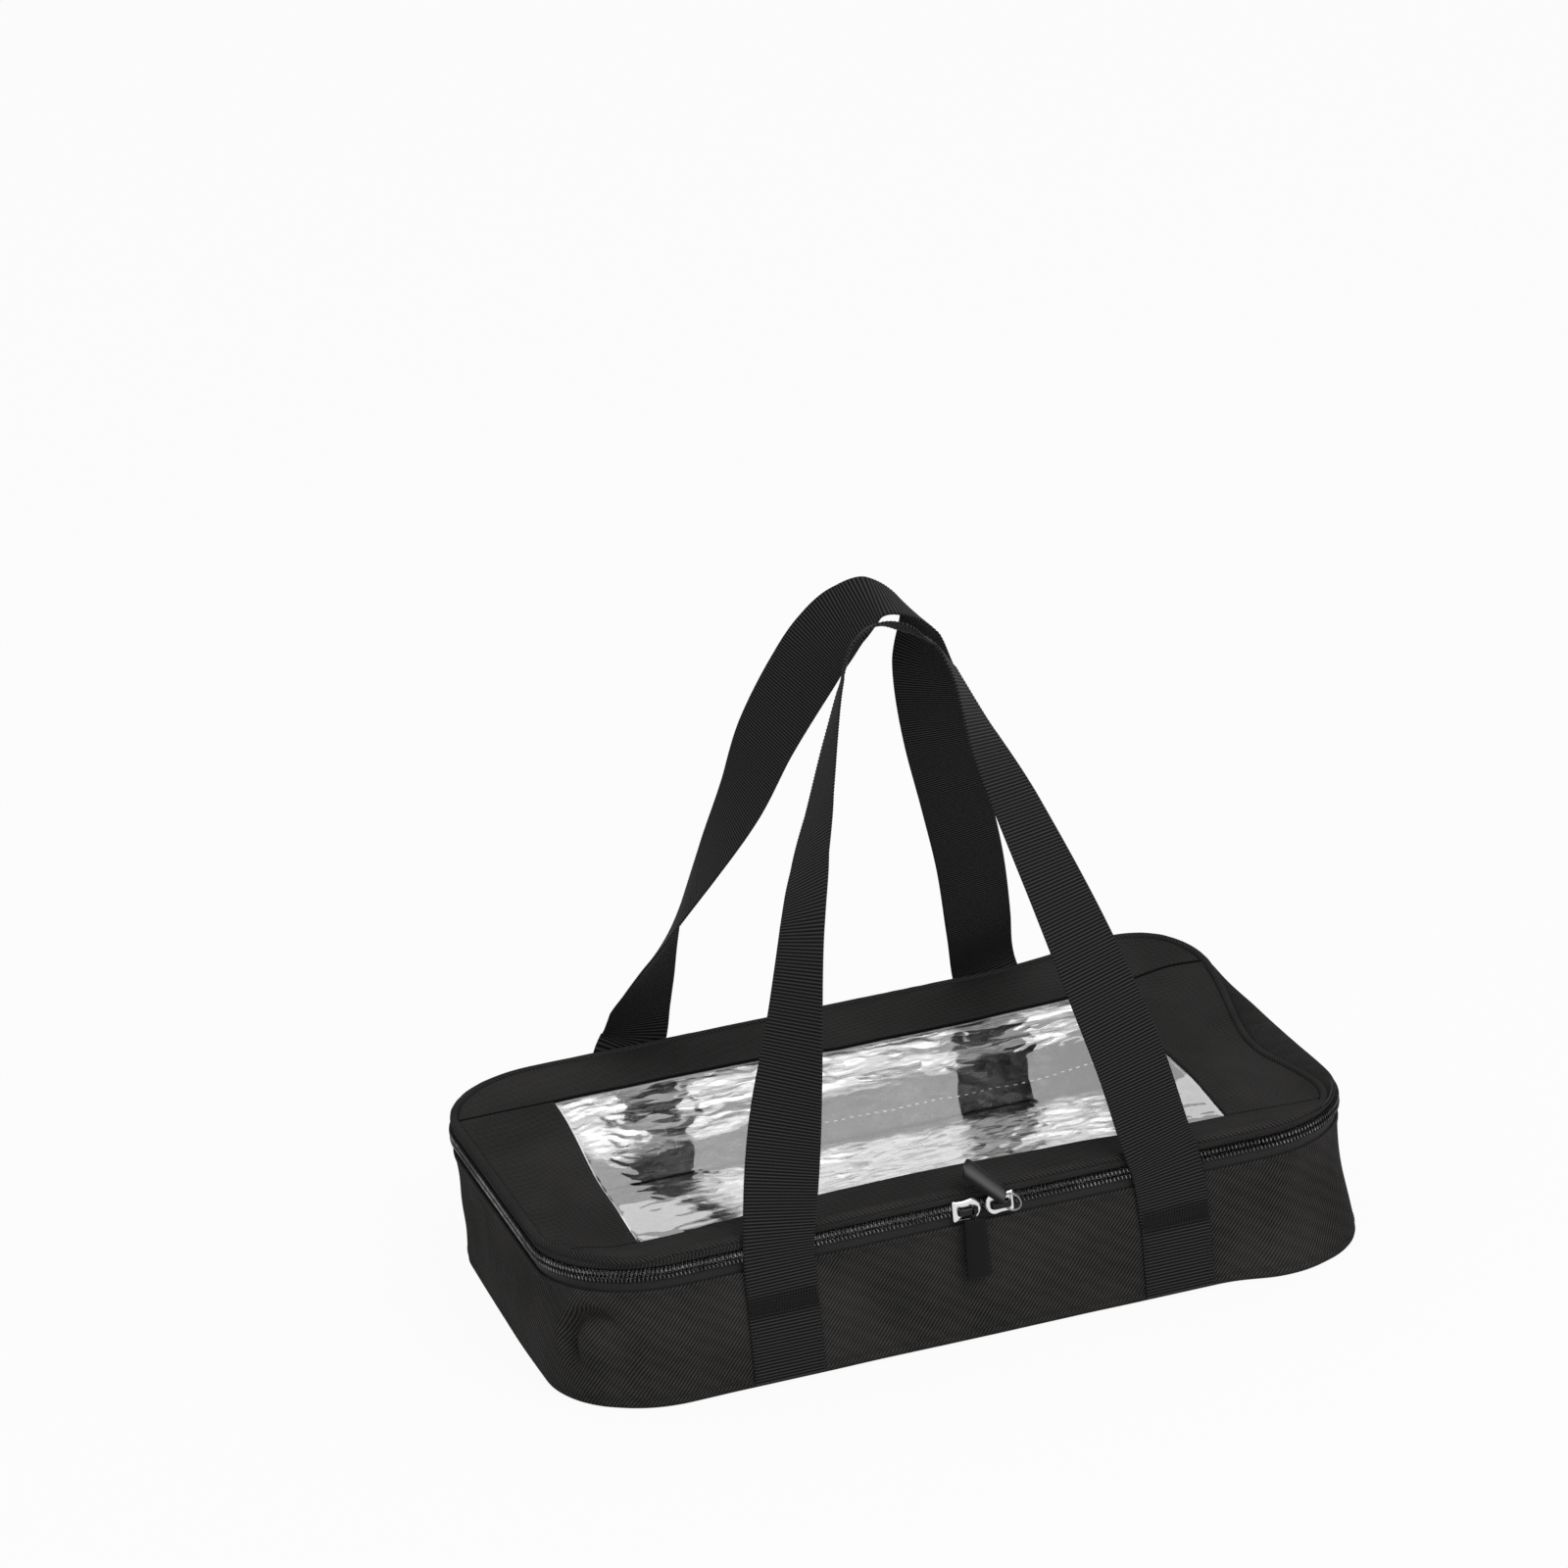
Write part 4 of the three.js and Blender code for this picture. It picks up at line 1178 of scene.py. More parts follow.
def lid_side(name, side, inner, nodes):
    """Rows run along the bag's end, columns from the folded window edge out to the piping. Both ends of
    the panel dip under the strips."""
    ys = np.linspace(window_front - UNDER_OVERLAP, window_back + UNDER_OVERLAP, 128)
    front_dip = 1 - ramp(ys, window_front - UNDER_START, window_front + UNDER_OVERLAP)
    back_dip = ramp(ys, window_back - UNDER_OVERLAP, window_back + UNDER_START)
    outer = half_width(ys, PANEL_INSET)[:, None]
    start = abs(inner) + FOLD[-1, 0]
    flat = start + np.linspace(0, 1, 40)[None, :] * (outer - start)
    fold = abs(inner) + FOLD[:-1, 0][None, :] + 0 * ys[:, None]
    x = side * np.concatenate([fold, flat, outer + (PANEL_INSET - EDGE_TUCK)], 1)
    drop = np.concatenate([FOLD[:-1, 1], np.zeros(40), [TUCK_DROP]])[None, :]
    return lid_panel(name, x, ys, drop + UNDER * (front_dip + back_dip)[:, None], nodes)


lid_strip("lid_front_strip_cloth", -1, window_front, ("lid_front_strip",))
lid_strip("lid_back_strip_cloth", 1, window_back, ("lid_back_strip",))
lid_side("lid_left_panel_cloth", -1, window_left, ("lid_left_panel",))
lid_side("lid_right_panel_cloth", 1, window_right, ("lid_right_panel",))
print("lid cloth: two strips and two panels")

# %% [markdown]
# The window is thin clear film. It was folded in its packet, so it keeps shallow creases along the bag,
# strongest at the back, at the left end and near the front, and almost none across its middle. It is one
# sheet without thickness, because a sheet with two sides would mirror each crease twice. Its edges lie
# under the cloth.

# %% Window film
FILM_MARGIN, FILM_STEP, FILM_PRESS, FILM_FREE = 6.0, 1.25, (0.7, 2.2), (-1, 9)
BACK_CRUSH, BACK_CRUSH_WIDENS, BACK_CRUSH_WIDER, BACK_LIFT = (28, 42), (45, 95), 20, (44, 60)
LEFT_CRUSH, LEFT_CRUSH_FADES, FRONT_CRUSH = (132, 148), (5, 30), (30, 44)
EDGE_BEND, FRONT_PATCHES, SOFT_WAVES = (52, 50), (46, 56), (42, 54)
CRUSHED = ((1.5, 1.0, 13, 0.55, 52), (1.2, 1.0, 6.5, -0.4, 57))
LONG_FOLDS = ((0.9, 0.25, 8.5, 0, 51), (0.3, 0.45, 4.6, 0, 55))
SHORT_FOLDS = ((0.9, 0.6, 7.0, 0.35, 58), (0.35, 0.7, 3.6, -0.3, 59))
film_level = sum(box_mm("window_film")[i][2] for i in (0, 1)) / 2


def creases(x, y, sets):
    """Sums sets of a height, a stretch along the bag, a size, a lean and a seed. One half less the size of
    waves gives ridges with sharp tops; the lean turns and stretches their axes."""
    total = 0.0
    for height, stretch, size, lean, seed in sets:
        along = x * stretch
        total = total + height * (0.5 - np.abs(waves(along * 0.8 - lean * y, y * 0.8 + lean * along,
                                                     size, seed)))
    return total


def film_height(x, y):
    """Crumpled zones at the back, front and left, each a sum of creases and folds, and a calm middle."""
    bent = y + 6 * waves(x, y, *EDGE_BEND) + 0.05 * x
    back = ramp(bent + BACK_CRUSH_WIDER * ramp(-x, *BACK_CRUSH_WIDENS), *BACK_CRUSH)
    left = ramp(-x, *LEFT_CRUSH) * (1 - 0.75 * ramp(-y, *LEFT_CRUSH_FADES)) * 0.6
    front = ramp(-bent, *FRONT_CRUSH) * (0.35 + 0.65 * ramp(waves(x, bent, *FRONT_PATCHES), -0.3, 0.3))
    crushed, along = creases(x, y, CRUSHED), creases(x, bent, LONG_FOLDS)
    zones = back * (0.55 * crushed + 0.8 * along) + left * crushed
    zones = zones + front * (creases(x, bent, SHORT_FOLDS) + 0.6 * along)
    return zones + 0.5 * waves(x * 0.5, y, *SOFT_WAVES) + 0.45 * ramp(bent, *BACK_LIFT)


def window():
    """The film from under one panel to under the other, pressed down a little along its seams."""
    x = np.arange(window_left - FILM_MARGIN, window_right + FILM_MARGIN + 0.1, FILM_STEP)
    y = np.arange(window_front - FILM_MARGIN, window_back + FILM_MARGIN + 0.1, FILM_STEP)
    x, y = np.meshgrid(x, y, indexing="ij")
    gap = np.minimum(np.minimum(x - window_left, window_right - x),
                     np.minimum(y - window_front, window_back - y))
    depth, reach = FILM_PRESS
    pressed = -depth * (1 - np.exp(-np.clip(gap, 0, None) / reach))
    grid = lid_shape(x, y, film_level + ramp(gap, *FILM_FREE) * film_height(x, y) * 0.9 + pressed)
    return cloth_piece("window_film_sheet", grid, film, "lid", "window_film", ("window_film",),
                       outside="up", uv=np.stack([x, y], -1))


film_sheet = window()
print("film:", len(film_sheet.data.polygons), "faces")

# %% [markdown]
# Round the window the lid holds a frame of foam and, under it, the silver lining. Both are flat rings.

# %% Lid foam and lining


def frame_ring(name, profile, margin, material, slot, nodes, outside, steps=14, rough=0.0, thick=0.0):
    """A flat ring from an inset of the plan in to the window's edge, drawn row by row."""
    outer = ring_surface([(profile[0], profile[1])], follow=0.0)[0][:, :2]
    inner = np.stack([np.clip(outer[:, 0], window_left - margin, window_right + margin),
                      np.clip(outer[:, 1], window_front - margin, window_back + margin)], -1)
    share = np.linspace(0, 1, steps)[:, None, None]
    xy = outer[None] * (1 - share) + inner[None] * share
    x, y = xy[..., 0], xy[..., 1]
    grid = lid_shape(x, y, profile[1] + rough * crumple(x, y))
    piece = cloth_piece(name, grid, material, "lid", slot, nodes, around=(False, True),
                        outside=outside, thick=thick, uv=flat_map(grid))
    return weld(piece)


LID_PAD_LEVEL, LID_PAD_MARGIN, LID_PAD_THICK, LID_LINING_LEVEL, LID_LINING_MARGIN = 82.3, 2.0, 2.8, 78.9, 1.0
frame_ring("lid_foam_pad", (PANEL_INSET, LID_PAD_LEVEL), LID_PAD_MARGIN, foam, "foam", ("lid_foam",), "up",
           thick=LID_PAD_THICK)
frame_ring("lid_lining_foil", (PANEL_INSET, LID_LINING_LEVEL), LID_LINING_MARGIN, foil, "foil",
           ("lid_lining",), "down", steps=34, rough=0.5, thick=FOIL)
print("lid foam and lid lining done")

# %% [markdown]
# ## Piping and band
#
# A cord wrapped in cloth runs round the lid's edge. Below it a narrow band turns down to the zip. Where
# the lid's end is pushed in, the band's upper half is drawn over and the cord lies lower, on its slope.

# %% Piping and band
PIPING_INSET, PUSHED = 2.2, (1, 12)
BAND_ROWS = ((-0.5, 4.2), (-0.15, 4.0), (-1.3, 4.6))
CREST_OUT, CREST_UP, FOOT_SHARE = (0.6, 1.2), (7.0, 4.5), 0.6


def unit(vectors):
    return vectors / np.linalg.norm(vectors, axis=-1, keepdims=True)


def round_steps(count, start=0.0):
    """Angles of evenly spaced points round a circle."""
    return (np.arange(count) + start) * TURN / count


def tube(path, radius, sides, up, closed=False):
    """Carries a circle along a path: centre + radius * (cos * side + sin * up), square to the path."""
    along = np.gradient(path, axis=0)
    if closed:
        along = (np.roll(path, -1, 0) - np.roll(path, 1, 0)) / 2
    along = unit(along)
    side = unit(np.cross(along, np.broadcast_to(up, path.shape)))
    top = np.cross(side, along)
    turn = round_steps(sides)
    radius = np.broadcast_to(radius, path.shape[:1])[:, None, None]
    ring = np.cos(turn)[None, :, None] * side[:, None] + np.sin(turn)[None, :, None] * top[:, None]
    return path[:, None] + ring * radius


def lid_rim(s, inset, z):
    """Points on the lid's edge, with the lid's own sag."""
    point, out = plan(s)
    xy = point - out * inset
    return lid_shape(xy[..., 0], xy[..., 1], z)


piping_s = np.arange(0, PERIMETER, PERIMETER / 900)
piping_path = lid_rim(piping_s, PIPING_INSET, piping_z)
wrinkle = piping_radius * (1 + 0.035 * waves(piping_s, 0 * piping_s, 5.5, 61))
cloth_piece("lid_piping_cord", tube(piping_path, wrinkle, 14, (0, 0, 1), True), lid_cloth, "lid",
            "lid_cloth", ("lid_piping",), around=(True, True), outside="closed")


def band():
    """A curve of three points from the zip, over a crest above it, to the foot of the piping. Where the
    lid is pushed in the crest stands higher. Two more rows turn the cloth in under the zip tape."""
    point, out = plan(AROUND)
    moved = lid_rim(AROUND, PIPING_INSET, piping_z)
    shift = np.linalg.norm(moved[:, :2] - (point - out * PIPING_INSET), axis=1)
    pushed = ramp(shift, *PUSHED)[:, None]
    lift = corner_lift(point[:, 0], point[:, 1], zip_z)[:, None]

    def row(outwards, height):
        return np.concatenate([point + out * outwards, zip_z + height + lift], 1)

    low, hem, under = (row(outwards, height) for outwards, height in BAND_ROWS)
    crest = row(CREST_OUT[0] + CREST_OUT[1] * pushed, CREST_UP[0] + CREST_UP[1] * pushed)
    drop = np.full((len(AROUND), 1), -piping_radius * FOOT_SHARE)
    foot = moved + np.concatenate([out * piping_radius * FOOT_SHARE, drop], 1)
    t = np.linspace(0, 1, 15)[:, None, None]
    grid = low * (1 - t) ** 2 + crest * 2 * t * (1 - t) + foot * t ** 2
    grid = np.concatenate([under[None], (hem + low)[None] / 2, grid], 0)
    return cloth_piece("lid_band_cloth", grid[::-1], lid_cloth, "lid", "lid_cloth", ("lid_band",),
                       around=(False, True), thick=LID_CLOTH)


band()
print("piping", len(piping_path), "rings")

# %% [markdown]
# ## Zip
#
# A coil zip: each tape carries a helix of nylon wire along its edge, and the two helices mesh half a
# turn apart. The tapes sit a little inside the wall, so their fine ribs show in the gap below the coil.

# %% Zip tapes and coils
COIL_PITCH, WIRE, COIL_RISE, COIL_DEPTH, COIL_MIDDLE = 2.15, 0.36, 1.85, 1.08, 1.75
COIL_STEPS, COIL_SIDES = 8, 5
TAPE_INSET, TAPE_FROM_ZIP, TAPE_FOOT, TAPE_TOP = 1.6, 2.6, 61.0, 81.6
zip_start = 207.1
zip_run = PERIMETER - 2 * zip_start
coil_turns = int(zip_run / COIL_PITCH) - 1


def zip_tape(name, low, high, body, nodes):
    """A narrow ribbon from low to high, a little inside the plan, gently rippled by the sewing."""
    s = zip_start + np.linspace(0, zip_run, 620)
    z = np.linspace(low, high, 7)
    s, z = np.meshgrid(s, z)
    ripple = 0.22 * waves(s, z * 2, 9, 71)
    grid = around_plan(s, z, TAPE_INSET + ripple, 0.0)
    return cloth_piece(name, grid, tape_cloth, body, "zip_tape", nodes, thick=CLOTH,
                       uv=np.stack([s, z], -1))


def squared(wave, power):
    """A sine or cosine raised to a power with its sign kept; below 1 it squares a circle's corners."""
    return np.sign(wave) * np.abs(wave) ** power


def paired(first, second):
    """A map from two numbers, each the same along a whole row or column of the grid."""
    return np.stack(np.broadcast_arrays(first, second), -1)


def coil(name, middle, shift, body, nodes):
    """Helix along the zip: height = rise * cos, depth = depth * sin, one turn per pitch. The map counts
    its turns."""
    angle = np.arange(coil_turns * COIL_STEPS + 1) * TURN / COIL_STEPS
    s = zip_start + (zip_run - coil_turns * COIL_PITCH) / 2 + (angle / TURN + shift) * COIL_PITCH
    depth = COIL_DEPTH * squared(np.sin(angle), 0.8)
    path = around_plan(s, middle + COIL_RISE * np.cos(angle), -depth, 0.0)
    _, out = plan(s)
    up = np.concatenate([out * np.sin(angle)[:, None], np.cos(angle)[:, None]], 1) + 1e-6
    count = np.concatenate([angle[:1], angle, angle[-1:]]) / TURN
    uv = paired(count[:, None], np.zeros((1, COIL_SIDES + 1)))
    return weld(cloth_piece(name, capped(tube(path, WIRE, COIL_SIDES, up)), nylon, body, "zip_coil", nodes,
                            uv=uv, **TUBE))


zip_tape("lower_zip_tape_ribbon", TAPE_FOOT, zip_z - TAPE_FROM_ZIP, "tray", ("lower_zip_tape",))
zip_tape("upper_zip_tape_ribbon", zip_z + TAPE_FROM_ZIP, TAPE_TOP, "lid", ("upper_zip_tape",))
coil("lower_coil_helix", zip_z - COIL_MIDDLE, 0.0, "tray", ("lower_zip_coil",))
coil("upper_coil_helix", zip_z + COIL_MIDDLE, 0.5, "lid", ("upper_zip_coil",))
print("coil turns:", coil_turns)

# %% [markdown]
# ## Cloth hinge
#
# Along the back the lid isn't zipped: one strip of cloth joins it to the tray. It is a single piece, from
# the tray's hem up to the lid's band.

# %% Hinge cloth
HINGE_LOW, HINGE_HIGH, BULGE_LOW, BULGE_SPAN = 64.5, 80.6, 66, 14
HINGE_INSET, HINGE_BULGE, CREASE_WIDTH, HINGE_WAVES = 0.55, 0.5, 0.8, (14, 81)


def hinge_strip():
    """A strip from inside the tray's hem to inside the lid's band. It bulges outwards a little above and
    below the fine crease that it bends along."""
    s = np.linspace(-zip_start - 1, zip_start + 1, 260)
    z = np.linspace(HINGE_LOW, HINGE_HIGH, 26)
    s, z = np.meshgrid(s, z)
    share = (z - BULGE_LOW) / BULGE_SPAN
    bulge = np.sin(math.pi * np.clip(share, 0, 1)) - hump(z, zip_z, CREASE_WIDTH)
    return around_plan(s, z, HINGE_INSET - HINGE_BULGE * bulge + 0.15 * waves(s, z, *HINGE_WAVES), 0.0)


hinge = cloth_piece("hinge_cloth_strip", hinge_strip(), body_cloth, None, "body_cloth",
                    ("hinge_cloth_lower", "hinge_cloth_upper"), thick=CLOTH)
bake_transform(hinge)
print("hinge cloth spans", round(2 * zip_start), "mm")

# %% [markdown]
# ## Webbing handles
#
# Each handle is one strap, sewn down on the wall, rising from the rim, leaning in and twisting until the
# two loops meet above the lid. A table gives the middle line and the twist; a smooth curve runs through
# it, and a ribbed flat section is carried along the curve.

# %% Handle curves
HANDLE_RISE, CURVE_STEPS, TWIST_REACH, FOOT_ROWS = 318.0, 40, 20, 60
foot_z = box_mm("front_handle_webbing")[0][2]
wall_line = (abs(web_low[1]) + abs(web_high[1])) / 2
rim_line = abs(lower_coil_low[1]) + 0.5 + web_thickness / 2
FRONT_LOOP = [
    (-0.981, 1.028, 0.163, -0.06), (-0.918, 1.048, 0.315, -0.36), (-0.819, 1.014, 0.457, -0.66),
    (-0.681, 0.905, 0.622, -0.85), (-0.566, 0.77, 0.7, -0.97), (-0.439, 0.63, 0.77, -1.08),
    (-0.29, 0.466, 0.854, -1.18), (-0.18, 0.373, 0.92, -1.24), (-0.089, 0.33, 0.976, -1.27),
    (0.024, 0.316, 1, -1.24), (0.126, 0.316, 0.998, -1.18), (0.229, 0.323, 0.977, -1.1),
    (0.311, 0.344, 0.958, -1), (0.369, 0.401, 0.923, -0.87), (0.442, 0.53, 0.815, -0.62),
    (0.516, 0.658, 0.72, -0.46), (0.632, 0.854, 0.563, -0.27), (0.748, 0.986, 0.405, -0.1),
    (0.833, 1.029, 0.293, -0.03), (0.922, 1.029, 0.161, 0),
]
BACK_LOOP = [
    (-0.938, 1.021, 0.141, 0), (-0.905, 0.95, 0.208, 0.15), (-0.868, 0.857, 0.27, 0.36),
    (-0.818, 0.779, 0.332, 0.56), (-0.764, 0.707, 0.388, 0.72), (-0.61, 0.557, 0.514, 0.99),
    (-0.459, 0.407, 0.637, 1.22), (-0.339, 0.271, 0.759, 1.4), (-0.182, 0.129, 0.876, 1.54),
    (-0.084, 0.043, 0.939, 1.5), (0.024, -0.029, 0.986, 1.36), (0.15, -0.057, 1.011, 1.18),
    (0.28, -0.057, 0.993, 1.07), (0.376, -0.043, 0.953, 0.93), (0.419, 0.043, 0.859, 0.49),
    (0.532, 0.236, 0.706, 0.22), (0.662, 0.421, 0.56, 0.15), (0.786, 0.607, 0.411, 0.1),
    (0.885, 0.81, 0.26, 0.06), (0.977, 1.021, 0.141, 0),
]


def smooth_curve(table, steps):
    """Curve through rows of (x, y, z, twist): each span is a cubic whose slopes weigh the spans by the
    square root of their lengths, so that close rows don't make loops."""
    rows = np.vstack([2 * table[0] - table[1], table, 2 * table[-1] - table[-2]])
    gap = np.sqrt(np.linalg.norm(np.diff(rows[:, :3], axis=0), axis=1))[:, None]
    before, here, after = gap[:-2], gap[1:-1], gap[2:]
    p0, p1, p2, p3 = rows[:-3], rows[1:-2], rows[2:-1], rows[3:]
    slope1 = ((p1 - p0) / before - (p2 - p0) / (before + here) + (p2 - p1) / here) * here
    slope2 = ((p2 - p1) / here - (p3 - p1) / (here + after) + (p3 - p2) / after) * here
    t = (np.arange(steps) / steps)[None, :, None]
    p1, p2, slope1, slope2 = (v[:, None] for v in (p1, p2, slope1, slope2))
    curve = ((2 * t ** 3 - 3 * t ** 2 + 1) * p1 + (t ** 3 - 2 * t ** 2 + t) * slope1
             + (3 * t ** 2 - 2 * t ** 3) * p2 + (t ** 3 - t ** 2) * slope2)
    return np.vstack([curve.reshape(-1, 4), table[-1:]])


def walked(line):
    """Distance walked along a line of points, from its first to each of them."""
    return np.concatenate([[0], np.cumsum(np.linalg.norm(np.diff(line, axis=0), axis=1))])


def at_places(values, run, places):
    """Rows of values known after each distance of a run, read at other places."""
    return np.stack([np.interp(places, run, column) for column in values.T], -1)


def even_steps(curve, step):
    """The same curve with its points an equal distance apart."""
    run = walked(curve[:, :3])
    places = np.arange(0, run[-1], step)
    return at_places(curve, run, places), places


print("places by hand:", len(FRONT_LOOP), "on the front loop,", len(BACK_LOOP), "on the back loop")

# %% [markdown]
# The ribs are real: the section's faces rise and fall by a tenth of a millimetre along the strap, and
# die out at the two woven edges.

# %% Webbing section and handles
RIB_HEIGHT, RIB_STEPS = 0.2, 4
SECTION = np.array([(-0.955, 1), (-0.9, 1), (-0.6, 1), (-0.3, 1), (0, 1), (0.3, 1), (0.6, 1), (0.9, 1),
                    (0.955, 1), (0.99, 0.6), (1.0, 0), (0.99, -0.6), (0.955, -1), (0.9, -1), (0.6, -1),
                    (0.3, -1), (0, -1), (-0.3, -1), (-0.6, -1), (-0.9, -1), (-0.955, -1), (-0.99, -0.6),
                    (-1.0, 0), (-0.99, 0.6)])


def webbing_ribbon(centre, face, across, places):
    """Centre + across * half width + face * (half thickness + rib * cos(run)), edges without ribs."""
    share, level = SECTION[:, 0][None, :, None], SECTION[:, 1][None, :, None]
    rib = RIB_HEIGHT * np.cos(TURN * places / RIB_PITCH)[:, None, None] * (np.abs(share) < 0.97)
    rim = 1 + 0.14 * (np.abs(share) > 0.93)
    thick = level * (web_thickness / 2 * rim - RIB_HEIGHT) + np.sign(level) * rib * np.abs(level)
    return (centre[:, None] + across[:, None] * share * (web_width / 2) + face[:, None] * thick)


def webbing_piece(name, centre, face, across, places, body, nodes):
    """The ribbon as a closed mesh. Its map has across first and along second, in step with the ribs."""
    wide = np.append(SECTION[:, 0], 1.0) * web_width / 2
    uv = paired(wide[None, :], places[:, None])
    grid = webbing_ribbon(centre, face, across, places)
    return cap_ends(cloth_piece(name, grid, webbing, body, "webbing", nodes, uv=uv, **TUBE))


def bend_at_foot(piece, side):
    """Bakes the place of a strap or its stitched bar into its mesh."""
    base = side * wall_line * MM
    body = "front_handle" if side < 0 else "back_handle"
    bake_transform(piece)


def handle(name, rows, side, nodes, lean=0.0):
    """The loop's frame: face starts outwards, is kept square to the strap, then turned by the twist, which
    is averaged over its neighbours. Lean draws both feet towards the bag's middle at the zip."""
    foot = [(strap_x, side * wall_line, foot_z, 0), (strap_x - lean, side * rim_line, zip_z, 0)]
    left = [(-strap_x, y, z, turn) for x, y, z, turn in foot]
    middle = [(x * strap_x, side * y * half_depth, foot_z + z * HANDLE_RISE, turn)
              for x, y, z, turn in rows]
    curve = smooth_curve(np.array(left + middle + foot[::-1], float), CURVE_STEPS)
    window_size = 2 * TWIST_REACH + 1
    twist = np.pad(curve[:, 3], TWIST_REACH, "edge")
    curve[:, 3] = np.convolve(twist, np.ones(window_size) / window_size, "valid")
    curve, places = even_steps(curve, RIB_PITCH / RIB_STEPS)
    centre = curve[:, :3]
    along = unit(np.gradient(centre, axis=0))
    outward = np.array([0.0, side, 0.0])
    face = unit(outward - (along @ outward)[:, None] * along)
    angle = (curve[:, 3] * math.pi / 2)[:, None]
    face = face * np.cos(angle) + np.cross(along, face) * np.sin(angle)
    across = np.cross(along, face)
    piece = webbing_piece(name, centre, face, across, places, None, nodes)
    bend_at_foot(piece, side)
    return places[-1], curve[:FOOT_ROWS]


front_length, front_foot = handle("front_handle_strap", FRONT_LOOP, -1, ("front_handle_webbing",), lean=3.2)
back_length, back_foot = handle("back_handle_strap", BACK_LOOP, 1, ("back_handle_webbing",))
print("handle loops:", round(front_length), "and", round(back_length), "mm of webbing above the seam")

# %% [markdown]
# Each strap's sewn end lies flat on the wall down to the base seam. It is made like the loop above it,
# from the same section, so that the ribs carry on.

# %% Sewn strap ends
END_FOOT, END_BOW, BOW_TOP, OFF_WALL = 3.0, 0.9, 9.0, 0.05


def repeated(direction, count):
    """The same direction for each of a number of points."""
    return np.tile(np.array(direction, float), (count, 1))


def sewn_end(name, x, side, nodes):
    """A straight piece of the same webbing against the wall, drawn in at its foot to the base seam."""
    places = np.arange(END_FOOT, foot_z + 0.01, RIB_PITCH / RIB_STEPS)
    bow = -END_BOW * (1 - ramp(places, END_FOOT, BOW_TOP))
    centre = np.stack([0 * places + x, side * (wall_line + bow + OFF_WALL), places], -1)
    face, across = repeated([0, side, 0], len(places)), repeated([side, 0, 0], len(places))
    return webbing_piece(name, centre, face, across, places, "tray", nodes)


ENDS = [("front_left", -1, -1), ("front_right", 1, -1), ("back_left", -1, 1), ("back_right", 1, 1)]
for end, hand, side in ENDS:
    sewn_end(end + "_strap_end", hand * strap_x, side, (end + "_anchor",))
print("strap ends:", len(ENDS))

# %% [markdown]
# ## Stitches
#
# A stitch is a short thread lying on the cloth, thicker in its middle and drawn in at its ends. All the
# stitches of a seam are one mesh: the same small capsule is placed at each point, turned to the seam.

# %% Stitch maker
STITCH_RINGS = np.array([(-0.5, 0.0, -0.35), (-0.38, 0.8, -0.05), (0.0, 1.0, 0.1), (0.38, 0.8, -0.05),
                         (0.5, 0.0, -0.35)])
STITCH_SIDES, NEAR = 5, 0.3


def stitch_row(name, centres, along, normals, length, radius, body, nodes=(), material=thread):
    """Capsules: centre + ring place * length * along + ring size * radius * circle, sunk at both ends."""
    along, normals = unit(along), unit(normals)
    side = unit(np.cross(along, normals))
    turn = round_steps(STITCH_SIDES)
    place, size, lift = (STITCH_RINGS[:, k][None, :, None, None] for k in range(3))
    circle = (np.cos(turn)[None, None, :, None] * side[:, None, None]
              + np.sin(turn)[None, None, :, None] * normals[:, None, None])
    points = (centres[:, None, None] + along[:, None, None] * place * length
              + (circle * size + normals[:, None, None] * lift) * radius)
    count = points.shape[0]
    faces, _ = grid_faces(len(STITCH_RINGS), STITCH_SIDES, False, True)
    per_stitch = len(STITCH_RINGS) * STITCH_SIDES
    faces = (faces[None] + np.arange(count)[:, None, None] * per_stitch).reshape(-1, 4)
    points = points.reshape(-1, 3)
    if looks_wrong(points, faces, "closed"):
        faces = faces[:, ::-1]
    return weld(make_piece(name, points, faces, None, material, body, nodes))


def seam_along(path, normals, pitch):
    """Evenly spaced centres, directions and normals along a polyline."""
    run = walked(path)
    places = np.arange(pitch / 2, run[-1] - pitch / 2, pitch)
    along = at_places(path, run, places + NEAR) - at_places(path, run, places - NEAR)
    return at_places(path, run, places), along, at_places(normals, run, places)


print("a stitch has", len(STITCH_RINGS) * STITCH_SIDES, "points before welding")

# %% [markdown]
# Seams run round the hem below the zip, round the base, and along the four sides of the window. They use
# the same shape functions as the cloth beneath, lifted a little above it.

# %% Seams on the cloth
THREAD_RADIUS, STITCH_PITCH, STITCH_LENGTH, SEAM_INSET = 0.24, 3.1, 2.5, 2.0
FINE_RADIUS, FINE_LENGTH, ROW_END = 0.2, 2.4, 6.0
HEM_SEAM, HEM_LIFT, BASE_SEAM, BASE_LIFT, LID_LIFT = wall_top - 2.4, 0.1, 7.6, 0.05, 0.06


def wall_seam(name, z, lift):
    """A row of stitches round the wall at one height; the sewn straps cover it where they pass."""
    s = np.linspace(0, PERIMETER, 1400)
    path = around_plan(s, z + 0 * s, -lift + 0 * s)
    _, out = plan(s)
    centres, along, normals = seam_along(path, np.concatenate([out, 0 * s[:, None]], 1), STITCH_PITCH)
    beside = np.abs(np.abs(centres[:, 0]) - strap_x) > web_width / 2
    clear = beside | (np.abs(centres[:, 1]) < half_depth - STRAP_DEPTH)
    stitch_row(name, centres[clear], along[clear], normals[clear], STITCH_LENGTH, THREAD_RADIUS, "tray")


def lid_seam(name, x, y):
    """Stitches on the lid cloth along a flat path."""
    path = lid_shape(x, y, lid_top + LID_LIFT)
    centres, along, normals = seam_along(path, repeated([0, 0, 1], len(path)), STITCH_PITCH)
    stitch_row(name, centres, along, normals, FINE_LENGTH, FINE_RADIUS, "lid")


